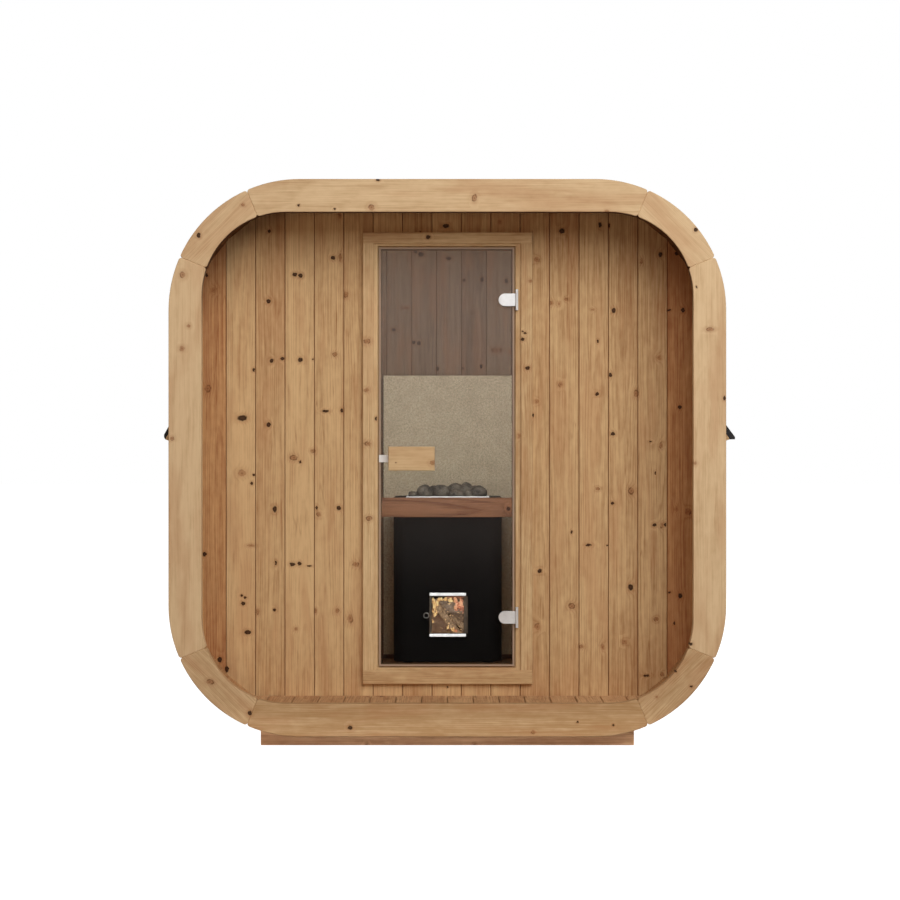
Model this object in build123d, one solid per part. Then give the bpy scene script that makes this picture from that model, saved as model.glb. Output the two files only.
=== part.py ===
from build123d import *
import math
import os

# Outdoor sauna cabin: a rounded-square shell of staves between two eight-piece trim rings.
# All lengths are in millimetres. +X is to the right of someone who faces the door, +Y runs
# into the cabin and +Z is up. The origin is on the ground, in the middle of the underside
# of the middle base beam.

# Trim rings
cabin_width = 2070.0
cabin_height = 2070.0
cabin_depth = 1950.0
ring_lift = 45.0
ring_width = 122.0
ring_thickness = 42.0
ring_corner_radius = 486.0
ring_inner_radius = 313.0
ring_mitre_reach = 465.0
ring_mitre_angle = 22.5
ring_notch_radius = 11.0
back_ring_notch = 8.0
ring_eased_edge = 2.0

# Stave shell
shell_inset = 12.0
shell_corner_radius = 526.0
stave_thickness = 42.0
stave_width = 122.0
corner_staves = 6
stave_joint_width = 5.0
stave_joint_depth = 3.0
wall_groove_depth = 8.0

# End walls
wall_recess = 300.0
wall_thickness = 42.0
rear_recess = 118.0
scribe_gap = 0.3
board_cover = 113.2
board_joint_width = 4.0
board_joint_depth = 4.0
front_board_offset = -3.0
back_board_offset = 6.0

# Floors
floor_height = 64.0
floor_board_thickness = 24.0
floor_board_pitch = 97.7
floor_board_gap = 3.0
floor_board_eased_edge = 2.0
joist_width = 60.0
joist_side_gap = 20.0
porch_joists = 2
room_joists = 4

# Door frame, seen from the front
frame_outer_width = 651.0
wall_under_door = 46.5
wall_over_door = 116.0
frame_proud = 20.0
casing_side = 43.5
casing_top = 44.0
casing_bottom = 54.5
casing_step = 8.0
casing_eased_edge = 2.0
bead_latch_side = 14.0
bead_hinge_side = 20.0
bead_top = 8.0
bead_bottom = 9.0
stop_setback = 3.0
stop_lap = 8.0

# Glass door leaf
leaf_thickness = 8.0
leaf_gap = 5.0

# Door hinges
lower_hinge_distance = 188.0
upper_hinge_distance = 202.0
hinge_axis_gap = 9.5
hinge_barrel_radius = 5.5
hinge_barrel_length = 80.0
hinge_plate_thickness = 3.0
hinge_pin_radius = 2.5
hinge_plate_gap = 1.0
hinge_running_gap = 0.3
clamp_reach = 60.0
clamp_height = 48.0
clamp_plate = 10.0
clamp_inner_plate = 6.0
clamp_stop_gap = 5.0

# Door handle and catch
handle_width = 177.0
handle_height = 92.0
handle_thickness = 34.0
handle_inner_thickness = 26.0
handle_edge_distance = 37.0
handle_above_leaf_bottom = 798.0
handle_eased_edge = 2.0
finger_groove_depth = 16.0
finger_groove_height = 14.0
catch_height = 28.0
catch_thickness = 3.0

# Roof covering and eaves
shingle_thickness = 6.0
eave_height = 1137.0
batten_tip_reach = 30.0
batten_tip_rise = 12.0
batten_height = 62.0
eave_tip_right = 50.0
eave_tip_left = 34.0
eave_tip_thickness = 9.0

# Base beams
beam_length = 1402.0
beam_width = 60.0
beam_setback = 130.0

# Wood-burning heater
heater_width = 466.0
heater_depth = 440.0
heater_wall_distance = 100.0
heater_leg_height = 39.0
heater_leg_width = 36.0
heater_leg_inset = 60.0
heater_body_height = 702.0
heater_corner_radius = 55.0
heater_wall = 6.0
firebox_height = 400.0
stone_well_width = 346.0
stone_well_depth = 320.0
rim_height = 5.0
rim_width = 6.0
stone_rise = 60.0
stone_clearance = 2.0
stone_slope = 47.0

# Fire door
fire_door_width = 157.0
fire_door_height = 188.0
fire_door_bottom = 107.0
fire_door_thickness = 12.0
fire_door_gap = 5.0
fire_door_side = 9.0
fire_door_bar = 15.0
fire_glass_thickness = 4.0
fire_opening_margin = 10.0
fire_hinge_radius = 4.0
fire_hinge_pin_radius = 2.0
fire_hinge_lug = 14.0
fire_knob_radius = 13.0
fire_knob_length = 22.0
fire_knob_stem_radius = 4.0
fire_knob_stem = 20.0

# Guard rail and heat shield
rail_height = 82.0
rail_thickness = 22.0
rail_gap = 58.0
rail_top_rise = 2.0
rail_inner_width = 620.0
shield_width = 582.0
shield_height = 1262.0
shield_thickness = 10.0
shield_floor_gap = 21.0
spacer_length = 20.0
spacer_width = 22.0
spacer_inset = 45.0

# Levels and planes that follow from the sizes above
half_width = cabin_width / 2
ring_centre_height = ring_lift + cabin_height / 2
front_plane = -cabin_depth / 2
back_plane = cabin_depth / 2
shell_front = front_plane + ring_thickness
shell_back = back_plane - ring_thickness
shell_width = cabin_width - 2 * shell_inset
shell_height = cabin_height - 2 * shell_inset
shell_bottom = ring_lift + shell_inset
flat_x = shell_width / 2 - shell_corner_radius
flat_z = shell_height / 2 - shell_corner_radius
stave_lean = math.pi / 2 / (corner_staves + 1)
room_width = shell_width - 2 * stave_thickness
room_radius = shell_corner_radius - stave_thickness
shell_floor = shell_bottom + stave_thickness
deck_top = shell_floor + floor_height
deck_bottom = deck_top - floor_board_thickness
wall_face = front_plane + wall_recess
wall_inside = wall_face + wall_thickness
back_wall_outside = back_plane - rear_recess
back_wall_face = back_wall_outside - wall_thickness
heater_back = back_wall_face - heater_wall_distance
heater_front = heater_back - heater_depth
heater_bottom = deck_top + heater_leg_height
heater_top = heater_bottom + heater_body_height

# The door frame's limits, from the outside in, and the leaf inside them
frame_bottom = deck_top + wall_under_door
frame_top = shell_bottom + shell_height - stave_thickness - wall_over_door
frame_side = frame_outer_width / 2
frame_face = wall_face - frame_proud
bead_face = frame_face + casing_step
stop_face = wall_face + stop_setback
casing_inside = frame_side - casing_side
sill_top = frame_bottom + casing_bottom
head_bottom = frame_top - casing_top
rebate_left = -casing_inside + bead_latch_side
rebate_right = casing_inside - bead_hinge_side
rebate_bottom = sill_top + bead_bottom
rebate_top = head_bottom - bead_top
leaf_left = rebate_left + leaf_gap
leaf_right = rebate_right - leaf_gap
leaf_bottom = rebate_bottom + leaf_gap
leaf_top = rebate_top - leaf_gap
leaf_back = stop_face - leaf_gap
leaf_front = leaf_back - leaf_thickness
stop_left = leaf_left + stop_lap
stop_right = leaf_right - stop_lap
stop_bottom = leaf_bottom + stop_lap
stop_top = leaf_top - stop_lap


def block(x_range, y_range, z_range):
    """A box between three pairs of limits."""
    size = [high - low for low, high in (x_range, y_range, z_range)]
    middle = [(high + low) / 2 for low, high in (x_range, y_range, z_range)]
    return Pos(*middle) * Box(*size)


def prism(outline, front, back):
    """Draw an outline of X and Z out along Y, from front to back."""
    plane = Plane(origin=(0, back, 0), x_dir=(1, 0, 0), z_dir=(0, -1, 0))
    return extrude(plane * outline, back - front, dir=(0, -1, 0))


def upright(outline, bottom, top):
    """Draw an outline of X and Y out along Z, from bottom to top."""
    return extrude(Pos(0, 0, bottom) * outline, top - bottom, dir=(0, 0, 1))


def post(x, y, bottom, top, radius):
    """A round bar that stands on bottom and ends at top."""
    return Pos(x, y, bottom) * Cylinder(radius, top - bottom, align=(Align.CENTER, Align.CENTER, Align.MIN))


def round_square(width, height, radius):
    """A rounded square of X and Z on the cabin's axis."""
    return Pos(0, ring_centre_height) * RectangleRounded(width, height, radius)


def stave_outline(inset):
    """The shell's outline of X and Z, drawn in by an inset: flat sides, and flat staves round each corner."""
    reach = (shell_corner_radius - inset) / math.cos(stave_lean / 2)
    quarter = []
    for index in range(corner_staves + 1):
        lean = stave_lean * (index + 0.5)
        quarter.append((flat_x + reach * math.cos(lean), flat_z + reach * math.sin(lean)))
    points = quarter + [(-x, z) for x, z in reversed(quarter)]
    points += [(-x, -z) for x, z in quarter] + [(x, -z) for x, z in reversed(quarter)]
    return Pos(0, ring_centre_height) * Polygon(*points, align=None)


def mirrored(piece):
    """The piece on the other side of the cabin's middle plane."""
    return mirror(piece, about=Plane.YZ)


def ring_pieces(front):
    """The four straights and four corner pieces of one trim ring, with their notched mitres."""
    outer = round_square(cabin_width, cabin_height, ring_corner_radius)
    inner = round_square(cabin_width - 2 * ring_width, cabin_height - 2 * ring_width, ring_inner_radius)
    ring = outer - inner
    lean = math.radians(ring_mitre_angle)
    reach = 1.5 * ring_mitre_reach
    corner_x = half_width - ring_mitre_reach
    corner_z = cabin_height / 2 - ring_mitre_reach

    def mitre(side, level):
        """The point where a corner's two joint planes meet."""
        return Vector(side * corner_x, ring_centre_height + level * corner_z)

    def upwards(side, level):
        return mitre(side, level) + Vector(side * math.sin(lean), level * math.cos(lean)) * reach

    def sideways(side, level):
        return mitre(side, level) + Vector(side * math.cos(lean), level * math.sin(lean)) * reach

    def cut(points):
        return finished(ring & Polygon(*[(p.X, p.Y) for p in points], align=None))

    def finished(outline):
        """The front ring is planed round at its joints and eased; the back ring's joints are clipped plain."""
        board = prism(outline, front, front + ring_thickness)
        joints = board.edges().filter_by(Axis.Y).filter_by(lambda edge: not on_tangent(edge))
        if front > 0:
            return chamfer(joints, back_ring_notch)
        board = fillet(joints, ring_notch_radius)
        return chamfer(board.faces().sort_by(Axis.Y)[0].outer_wire().edges(), ring_eased_edge)

    def on_tangent(edge):
        """True where an arc runs smoothly into a straight, which is no corner."""
        x = abs(edge.center().X)
        z = abs(edge.center().Z - ring_centre_height)
        straight_x = half_width - ring_corner_radius
        inner_x = half_width - ring_width - ring_inner_radius
        near = min(abs(x - straight_x), abs(x - inner_x), abs(z - straight_x), abs(z - inner_x))
        return near < 0.01

    pieces = {
        "top": cut([mitre(-1, 1), mitre(1, 1), upwards(1, 1), upwards(-1, 1)]),
        "bottom": cut([mitre(-1, -1), mitre(1, -1), upwards(1, -1), upwards(-1, -1)]),
        "left": cut([mitre(-1, 1), mitre(-1, -1), sideways(-1, -1), sideways(-1, 1)]),
        "right": cut([mitre(1, 1), mitre(1, -1), sideways(1, -1), sideways(1, 1)]),
    }
    for level, level_name in ((1, "top"), (-1, "bottom")):
        for side, side_name in ((-1, "left"), (1, "right")):
            tip = mitre(side, level) + Vector(side, level) * reach
            wedge = [mitre(side, level), upwards(side, level), tip, sideways(side, level)]
            pieces[level_name + "_" + side_name] = cut(wedge)
    return pieces


def stave_joint_cuts():
    """The V-cut on both faces of the shell at each joint between staves. The roof and its corners have
    none outside, under the shingles, and the floor has none inside, under the decks."""
    half = stave_joint_width / 2
    roof_quarter = 0
    floor_quarter = 2
    cut = Polygon((half, 0), (0, stave_joint_depth), (-half, 0), (0, -stave_joint_depth), align=None)
    cuts = []
    for quarter in range(4):
        along, rise = (flat_x, flat_z) if quarter % 2 == 0 else (flat_z, flat_x)
        turn = Pos(0, ring_centre_height) * Rot(0, 0, 90 * quarter)
        flat = 2 * (along + shell_corner_radius * math.tan(stave_lean / 2))
        flat_staves = round(flat / stave_width)
        shown_faces = {roof_quarter: (room_radius,), floor_quarter: (shell_corner_radius,)}
        for radius in shown_faces.get(quarter, (shell_corner_radius, room_radius)):
            for index in range(1, flat_staves):
                cuts.append(turn * Pos(flat * (index / flat_staves - 0.5), rise + radius) * cut)
            for index in range(corner_staves + 1):
                lean = Rot(0, 0, -math.degrees(stave_lean) * (index + 0.5))
                reach = radius / math.cos(stave_lean / 2)
                cuts.append(turn * Pos(along, rise) * lean * Pos(0, reach) * cut)
    return cuts


def wall_grooves():
    """The grooves round the inside of the shell that hold the two end walls."""
    outline = stave_outline(stave_thickness - wall_groove_depth)
    return [
        prism(outline, face - scribe_gap, face + wall_thickness + scribe_gap)
        for face in (wall_face, back_wall_face)
    ]


def shell_pieces():
    """The stave shell: flat floor, roof and sides, and the corners of narrow flat staves between them."""
    shell = (stave_outline(0) - stave_outline(stave_thickness)) - stave_joint_cuts()
    grooves = wall_grooves()
    far = cabin_width
    fan = far * math.tan(stave_lean / 2)

    def panel(points):
        window = Pos(0, ring_centre_height) * Polygon(*points, align=None)
        return prism(shell & window, shell_front, shell_back) - grooves

    def pair(points):
        right = panel(points)
        return Compound([mirrored(right), right])

    roof = [(-flat_x, flat_z), (flat_x, flat_z), (flat_x + fan, flat_z + far), (-flat_x - fan, flat_z + far)]
    side = [(flat_x, -flat_z), (flat_x + far, -flat_z - fan), (flat_x + far, flat_z + fan), (flat_x, flat_z)]
    corner = [(flat_x, flat_z), (flat_x + far, flat_z + fan), (flat_x + far, flat_z + far)]
    corner.append((flat_x + fan, flat_z + far))
    return {
        "shell_floor": panel([(x, -z) for x, z in roof]),
        "shell_roof": panel(roof),
        "shell_sides": pair(side),
        "shell_bottom_corners": pair([(x, -z) for x, z in corner]),
        "shell_top_corners": pair(corner),
    }


def end_wall(front, board_offset):
    """A whole end wall of upright boards, with its edge in the shell's groove."""
    outline = stave_outline(stave_thickness - wall_groove_depth + scribe_gap)
    half = board_joint_width / 2
    cut = Polygon((half, 0), (0, board_joint_depth), (-half, 0), (0, -board_joint_depth), align=None)
    count = math.ceil(half_width / board_cover)
    lines = [board_offset + (index + 0.5) * board_cover for index in range(-count, count)]
    plan = Pos(0, front + wall_thickness / 2) * Rectangle(cabin_width, wall_thickness)
    plan -= [Pos(x, face) * cut for x in lines for face in (front, front + wall_thickness)]
    return prism(outline, front, front + wall_thickness) & upright(plan, 0, ring_lift + cabin_height)


def front_wall_pieces():
    """The front wall beside, over and under the door frame."""
    wall = end_wall(wall_face, front_board_offset)
    depth = (wall_face, wall_inside)
    low = ring_lift
    high = ring_lift + cabin_height
    return {
        "front_wall_left": wall & block((-half_width, -frame_side), depth, (low, high)),
        "front_wall_right": wall & block((frame_side, half_width), depth, (low, high)),
        "front_wall_over_door": wall & block((-frame_side, frame_side), depth, (frame_top, high)),
        "front_wall_under_door": wall & block((-frame_side, frame_side), depth, (low, frame_bottom)),
    }


def door_frame_pieces():
    """The rebated frame: sill and head run through, and the jambs stand between them."""
    side = frame_side
    through = (frame_face, wall_inside)
    frame = block((-side, side), through, (frame_bottom, frame_top))
    frame -= block((-casing_inside, casing_inside), (frame_face, bead_face), (sill_top, head_bottom))
    frame = chamfer(frame.faces().sort_by(Axis.Y)[0].edges(), casing_eased_edge)
    frame -= block((rebate_left, rebate_right), (frame_face, stop_face), (rebate_bottom, rebate_top))
    frame -= block((stop_left, stop_right), through, (stop_bottom, stop_top))
    sill_zone = block((-side, side), through, (frame_bottom, sill_top))
    sill_zone += block((rebate_left, rebate_right), (frame_face, stop_face), (sill_top, rebate_bottom))
    sill_zone += block((stop_left, stop_right), (stop_face, wall_inside), (sill_top, stop_bottom))
    head_zone = block((-side, side), through, (head_bottom, frame_top))
    head_zone += block((rebate_left, rebate_right), (frame_face, stop_face), (rebate_top, head_bottom))
    head_zone += block((stop_left, stop_right), (stop_face, wall_inside), (stop_top, head_bottom))
    return {
        "door_sill": frame & sill_zone,
        "door_head": frame & head_zone,
        "door_jambs": Compound((frame - sill_zone - head_zone).solids()),
    }


# The hinge axis stands beside the leaf's right edge, in front of the rebate's bead
hinge_x = leaf_right + hinge_axis_gap
hinge_y = bead_face - hinge_plate_thickness - hinge_plate_gap - hinge_barrel_radius
hinge_heights = (leaf_bottom + lower_hinge_distance, leaf_top - upper_hinge_distance)


def door_glass():
    """The frameless leaf."""
    return block((leaf_left, leaf_right), (leaf_front, leaf_back), (leaf_bottom, leaf_top))


def door_hinge_plates():
    """The fixed half of each hinge: a plate on the bead, two barrels and the pin."""
    plates = []
    for middle in hinge_heights:
        low = middle - hinge_barrel_length / 2
        high = middle + hinge_barrel_length / 2
        gap_low = middle - clamp_height / 2 - hinge_running_gap
        gap_high = middle + clamp_height / 2 + hinge_running_gap
        plate_x = (rebate_right, hinge_x + hinge_barrel_radius)
        half = block(plate_x, (bead_face - hinge_plate_thickness, bead_face), (low, high))
        for z_range in ((low, gap_low), (gap_high, high)):
            half += post(hinge_x, hinge_y, z_range[0], z_range[1], hinge_barrel_radius)
            half += block(
                (hinge_x - hinge_barrel_radius / 2, hinge_x + hinge_barrel_radius),
                (hinge_y, bead_face - hinge_plate_thickness),
                z_range,
            )
        half += post(hinge_x, hinge_y, low, high, hinge_pin_radius)
        plates.append(half)
    return Compound(plates)


def door_clamps():
    """The moving half of each hinge: a round-ended plate each side of the glass, and a barrel."""
    clamps = []
    for middle in hinge_heights:
        low = middle - clamp_height / 2
        high = middle + clamp_height / 2
        radius = clamp_height / 2
        round_x = leaf_right - clamp_reach + radius
        nose = Pos(round_x, middle) * Circle(radius)
        outer = Pos((round_x + leaf_right) / 2, middle) * Rectangle(leaf_right - round_x, clamp_height)
        face_plate = prism(nose + outer, leaf_front - clamp_plate, leaf_front)
        inner_right = stop_right - clamp_stop_gap
        inner = Pos((round_x + inner_right) / 2, middle) * Rectangle(inner_right - round_x, clamp_height)
        back_plate = prism(nose + inner, leaf_back, leaf_back + clamp_inner_plate)
        arm_depth = (leaf_front - clamp_plate, hinge_y + hinge_barrel_radius)
        arm = block((leaf_right, hinge_x), arm_depth, (low, high))
        barrel = post(hinge_x, hinge_y, low, high, hinge_barrel_radius)
        bore = post(hinge_x, hinge_y, low, high, hinge_pin_radius + hinge_running_gap)
        clamps.append(face_plate + arm + barrel - bore)
        clamps.append(back_plate)
    return clamps


def door_handle():
    """A wooden block outside, with a finger groove behind its free end, and a plainer one inside."""
    middle = (leaf_left + handle_edge_distance + handle_width / 2, leaf_bottom + handle_above_leaf_bottom)
    outline = Pos(*middle) * Rectangle(handle_width, handle_height)
    outer = prism(outline, leaf_front - handle_thickness, leaf_front)
    outer = chamfer(outer.faces().sort_by(Axis.Y)[0].edges(), handle_eased_edge)
    right = middle[0] + handle_width / 2
    outer -= block(
        (right - finger_groove_depth, right),
        (leaf_front - finger_groove_height, leaf_front),
        (middle[1] - handle_height, middle[1] + handle_height),
    )
    inner = prism(outline, leaf_back, leaf_back + handle_inner_thickness)
    inner = chamfer(inner.faces().sort_by(Axis.Y)[-1].edges(), handle_eased_edge)
    return Compound([outer, inner])


def door_catch():
    """A steel plate between the leaf's edge and the handle."""
    middle = leaf_bottom + handle_above_leaf_bottom
    right = leaf_left + handle_edge_distance
    depth = (leaf_front - catch_thickness, leaf_front)
    return block((leaf_left, right), depth, (middle - catch_height / 2, middle + catch_height / 2))


def deck(front, back):
    """Boards that run in depth, with the outer ones cut to the shell's round corners."""
    inside = stave_outline(stave_thickness + scribe_gap)
    level = Pos(0, (deck_bottom + deck_top) / 2) * Rectangle(room_width, floor_board_thickness)
    boards = prism(inside & level, front, back)
    count = math.floor(room_width / 2 / floor_board_pitch)
    half = floor_board_gap / 2
    eased = half + floor_board_eased_edge
    shoulder = deck_top - floor_board_eased_edge
    for index in range(-count, count + 1):
        x = index * floor_board_pitch
        sides = [(half, deck_bottom), (half, shoulder), (eased, deck_top)]
        joint = [(x + reach, z) for reach, z in sides] + [(x - reach, z) for reach, z in reversed(sides)]
        boards -= prism(Polygon(*joint, align=None), front, back)
    return Compound(boards.solids())


def floor_joists():
    """Joists across the cabin, on the shell's flat bottom."""
    joists = []
    runs = (
        (porch_joists, shell_front, wall_face),
        (room_joists, wall_inside, back_wall_face),
    )
    for count, front, back in runs:
        first = front + joist_side_gap
        last = back - joist_side_gap - joist_width
        for index in range(count):
            y = first + (last - first) * index / (count - 1)
            joists.append(block((-flat_x, flat_x), (y, y + joist_width), (shell_floor, deck_bottom)))
    return Compound(joists)


def eave_batten(side):
    """A tapered wooden strip under the lower edge of the roof covering."""
    wall = shell_width / 2
    points = [
        (side * wall, eave_height),
        (side * (wall + batten_tip_reach), eave_height + batten_tip_rise),
        (side * wall, eave_height + batten_height),
    ]
    return prism(Polygon(*points, align=None), shell_front, shell_back)


def roof_shingles():
    """The roof covering: over the upper half of the shell, and flared over both battens."""
    wall = shell_width / 2
    cover = stave_outline(-shingle_thickness) - stave_outline(-scribe_gap)
    flare_top = eave_height + batten_height
    upper = Pos(0, flare_top + cabin_height / 2) * Rectangle(2 * cabin_width, cabin_height)
    cover = prism(cover & upper, shell_front, shell_back)
    for side, tip in ((-1, eave_tip_left), (1, eave_tip_right)):
        slope = batten_tip_reach / (batten_height - batten_tip_rise)
        drop = (tip - eave_tip_thickness) / slope
        lip_low = flare_top - min(drop, batten_height - batten_tip_rise)
        flare = [
            (side * (wall + scribe_gap), flare_top),
            (side * (wall + scribe_gap + batten_tip_reach), eave_height + batten_tip_rise),
            (side * (wall + tip), lip_low),
            (side * (wall + tip), lip_low + eave_tip_thickness),
            (side * (wall + shingle_thickness), flare_top + 2 * eave_tip_thickness),
            (side * (wall + scribe_gap), flare_top + 2 * eave_tip_thickness),
        ]
        cover += prism(Polygon(*flare, align=None), shell_front, shell_back)
    return cover


def base_beams():
    """Three cradle beams, with their tops cut to the underside of the shell."""
    end_height = shell_bottom + shell_corner_radius - math.sqrt(shell_corner_radius ** 2 - (beam_length / 2 - flat_x) ** 2)
    shell = prism(stave_outline(0), front_plane, back_plane)
    beams = []
    for middle in (front_plane + beam_setback, 0, back_plane - beam_setback):
        depth = (middle - beam_width / 2, middle + beam_width / 2)
        beams.append(block((-beam_length / 2, beam_length / 2), depth, (0, end_height)) - shell)
    return Compound(beams)


def heater_outline(inset=0.0):
    middle_y = (heater_front + heater_back) / 2
    return Pos(0, middle_y) * RectangleRounded(
        heater_width - 2 * inset, heater_depth - 2 * inset, heater_corner_radius - inset
    )


def heater_body():
    """A sheet-steel body: the firebox below, the stone well above, on four short legs."""
    well_floor = heater_bottom + firebox_height
    body = upright(heater_outline(), heater_bottom, heater_top)
    body -= upright(heater_outline(heater_wall), heater_bottom + heater_wall, well_floor - heater_wall)
    middle_y = (heater_front + heater_back) / 2
    body -= upright(heater_outline(heater_wall), well_floor, heater_top - heater_wall)
    body -= block(
        (-stone_well_width / 2, stone_well_width / 2),
        (middle_y - stone_well_depth / 2, middle_y + stone_well_depth / 2),
        (well_floor, heater_top),
    )
    opening_x = fire_door_width / 2 - fire_opening_margin
    door_low = heater_bottom + fire_door_bottom
    body -= block(
        (-opening_x, opening_x),
        (heater_front, heater_front + heater_wall),
        (door_low + fire_opening_margin, door_low + fire_door_height - fire_opening_margin),
    )
    for side in (-1, 1):
        for y in (heater_front + heater_leg_inset, heater_back - heater_leg_inset):
            x = side * (heater_width / 2 - heater_leg_inset)
            half = heater_leg_width / 2
            body += block((x - half, x + half), (y - half, y + half), (deck_top, heater_bottom))
    return body


def heater_rim():
    """A low steel collar round the mouth of the stone well."""
    middle_y = (heater_front + heater_back) / 2
    ring = Rectangle(stone_well_width + 2 * rim_width, stone_well_depth + 2 * rim_width)
    ring -= Rectangle(stone_well_width, stone_well_depth)
    return upright(Pos(0, middle_y) * ring, heater_top, heater_top + rim_height)


def heater_stones():
    """The heap of stones, from the floor of the well to a low mound over the rim."""
    middle_y = (heater_front + heater_back) / 2
    well_floor = heater_bottom + firebox_height
    width = stone_well_width - 2 * stone_clearance
    depth = stone_well_depth - 2 * stone_clearance
    fill = upright(Pos(0, middle_y) * Rectangle(width, depth), well_floor, heater_top)
    mound = extrude(Pos(0, middle_y, heater_top) * Rectangle(width, depth), stone_rise, taper=stone_slope)
    return fill + mound


# Fire door limits
fire_door_low = heater_bottom + fire_door_bottom
fire_door_high = fire_door_low + fire_door_height
fire_door_back = heater_front - fire_door_gap
fire_door_front = fire_door_back - fire_door_thickness
fire_hinge_x = fire_door_width / 2 + fire_hinge_radius
fire_hinge_y = (fire_door_front + fire_door_back) / 2


def fire_door():
    """The fire door's steel frame, with its hinge barrel and the knob's stem."""
    half = fire_door_width / 2
    depth = (fire_door_front, fire_door_back)
    frame = block((-half, half), depth, (fire_door_low, fire_door_high))
    frame -= block(
        (-half + fire_door_side, half - fire_door_side),
        depth,
        (fire_door_low + fire_door_bar, fire_door_high - fire_door_bar),
    )
    low = fire_door_low + fire_hinge_lug + hinge_running_gap
    high = fire_door_high - fire_hinge_lug - hinge_running_gap
    frame += post(fire_hinge_x, fire_hinge_y, low, high, fire_hinge_radius)
    frame += block((half - fire_door_side, fire_hinge_x), depth, (low, high))
    frame -= post(fire_hinge_x, fire_hinge_y, low, high, fire_hinge_pin_radius + hinge_running_gap)
    middle = (fire_door_low + fire_door_high) / 2
    lug_height = 2 * fire_knob_stem_radius
    knob_x = -half - fire_knob_radius
    frame += block(
        (knob_x - fire_knob_stem_radius, -half), depth, (middle - lug_height, middle + lug_height)
    )
    return frame


def fire_knob():
    """A round knob that stands out from the left edge of the fire door."""
    middle = (fire_door_low + fire_door_high) / 2
    knob_x = -fire_door_width / 2 - fire_knob_radius
    spot = Pos(knob_x, middle)
    stem = prism(spot * Circle(fire_knob_stem_radius), fire_door_front - fire_knob_stem, fire_door_front)
    knob_back = fire_door_front - fire_knob_stem
    return stem + prism(spot * Circle(fire_knob_radius), knob_back - fire_knob_length, knob_back)


def fire_glass():
    """The pane in the fire door."""
    half = fire_door_width / 2 - fire_door_side
    middle = (fire_door_front + fire_door_back) / 2
    depth = (middle - fire_glass_thickness / 2, middle + fire_glass_thickness / 2)
    return block((-half, half), depth, (fire_door_low + fire_door_bar, fire_door_high - fire_door_bar))


def fire_door_hinges():
    """Two lugs on the heater's front that hold the fire door's pin."""
    lugs = []
    for z_range in (
        (fire_door_low, fire_door_low + fire_hinge_lug),
        (fire_door_high - fire_hinge_lug, fire_door_high),
    ):
        lug = post(fire_hinge_x, fire_hinge_y, z_range[0], z_range[1], fire_hinge_radius)
        lug += block(
            (fire_hinge_x - fire_hinge_radius / 2, fire_hinge_x + fire_hinge_radius),
            (fire_hinge_y, heater_front),
            z_range,
        )
        lugs.append(lug)
    pin = post(fire_hinge_x, fire_hinge_y, fire_door_low, fire_door_high, fire_hinge_pin_radius)
    return lugs[0] + lugs[1] + pin


def guard_rail_front():
    """The plank in front of the heater, at the height of its top."""
    half = rail_inner_width / 2 + rail_thickness
    back = heater_front - rail_gap
    top = heater_top + rail_top_rise
    return block((-half, half), (back - rail_thickness, back), (top - rail_height, top))


def guard_rail_sides():
    """Two planks that carry the front one from the back wall."""
    top = heater_top + rail_top_rise
    inner = rail_inner_width / 2
    depth = (heater_front - rail_gap, back_wall_face)
    right = block((inner, inner + rail_thickness), depth, (top - rail_height, top))
    return Compound([mirrored(right), right])


def heat_shield():
    """A panel that stands off the back wall on four spacers."""
    half = shield_width / 2
    low = deck_top + shield_floor_gap
    back = back_wall_face - spacer_length
    panel = block((-half, half), (back - shield_thickness, back), (low, low + shield_height))
    for x in (-half + spacer_inset, half - spacer_inset):
        for z in (low + spacer_inset, low + shield_height - spacer_inset):
            panel += prism(Pos(x, z) * Rectangle(spacer_width, spacer_width), back, back_wall_face)
    return panel


def build():
    """Every sub-part by name."""
    parts = {}
    for name, piece in ring_pieces(front_plane).items():
        parts["front_ring_" + name] = piece
    rear = ring_pieces(back_plane - ring_thickness)
    straights = ("top", "bottom", "left", "right")
    parts["back_ring_straights"] = Compound([rear[name] for name in straights])
    parts["back_ring_corners"] = Compound([rear[name] for name in rear if name not in straights])
    parts.update(shell_pieces())
    parts.update(front_wall_pieces())
    parts["back_wall"] = end_wall(back_wall_face, back_board_offset)
    parts.update(door_frame_pieces())
    parts["door_glass"] = door_glass()
    parts["door_handle"] = door_handle()
    parts["door_fittings"] = Compound(door_clamps() + [door_catch()])
    parts["door_hinge_plates"] = door_hinge_plates()
    parts["porch_floor"] = deck(shell_front, wall_face)
    parts["room_floor"] = deck(wall_inside, back_wall_face)
    parts["floor_joists"] = floor_joists()
    parts["roof_shingles"] = roof_shingles()
    parts["eave_battens"] = Compound([eave_batten(side) for side in (-1, 1)])
    parts["base_beams"] = base_beams()
    parts["heater_body"] = heater_body()
    parts["heater_rim"] = heater_rim()
    parts["heater_stones"] = heater_stones()
    parts["fire_door"] = fire_door()
    parts["fire_door_glass"] = fire_glass()
    parts["fire_door_knob"] = fire_knob()
    parts["fire_door_hinges"] = fire_door_hinges()
    parts["guard_rail_front"] = guard_rail_front()
    parts["guard_rail_sides"] = guard_rail_sides()
    parts["heat_shield"] = heat_shield()
    return parts


os.makedirs("parts", exist_ok=True)
for part_name, part in build().items():
    export_step(part, "parts/" + part_name + ".step")
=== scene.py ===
import math
import random

import bmesh
import bpy
from mathutils import Matrix, Vector


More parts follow.
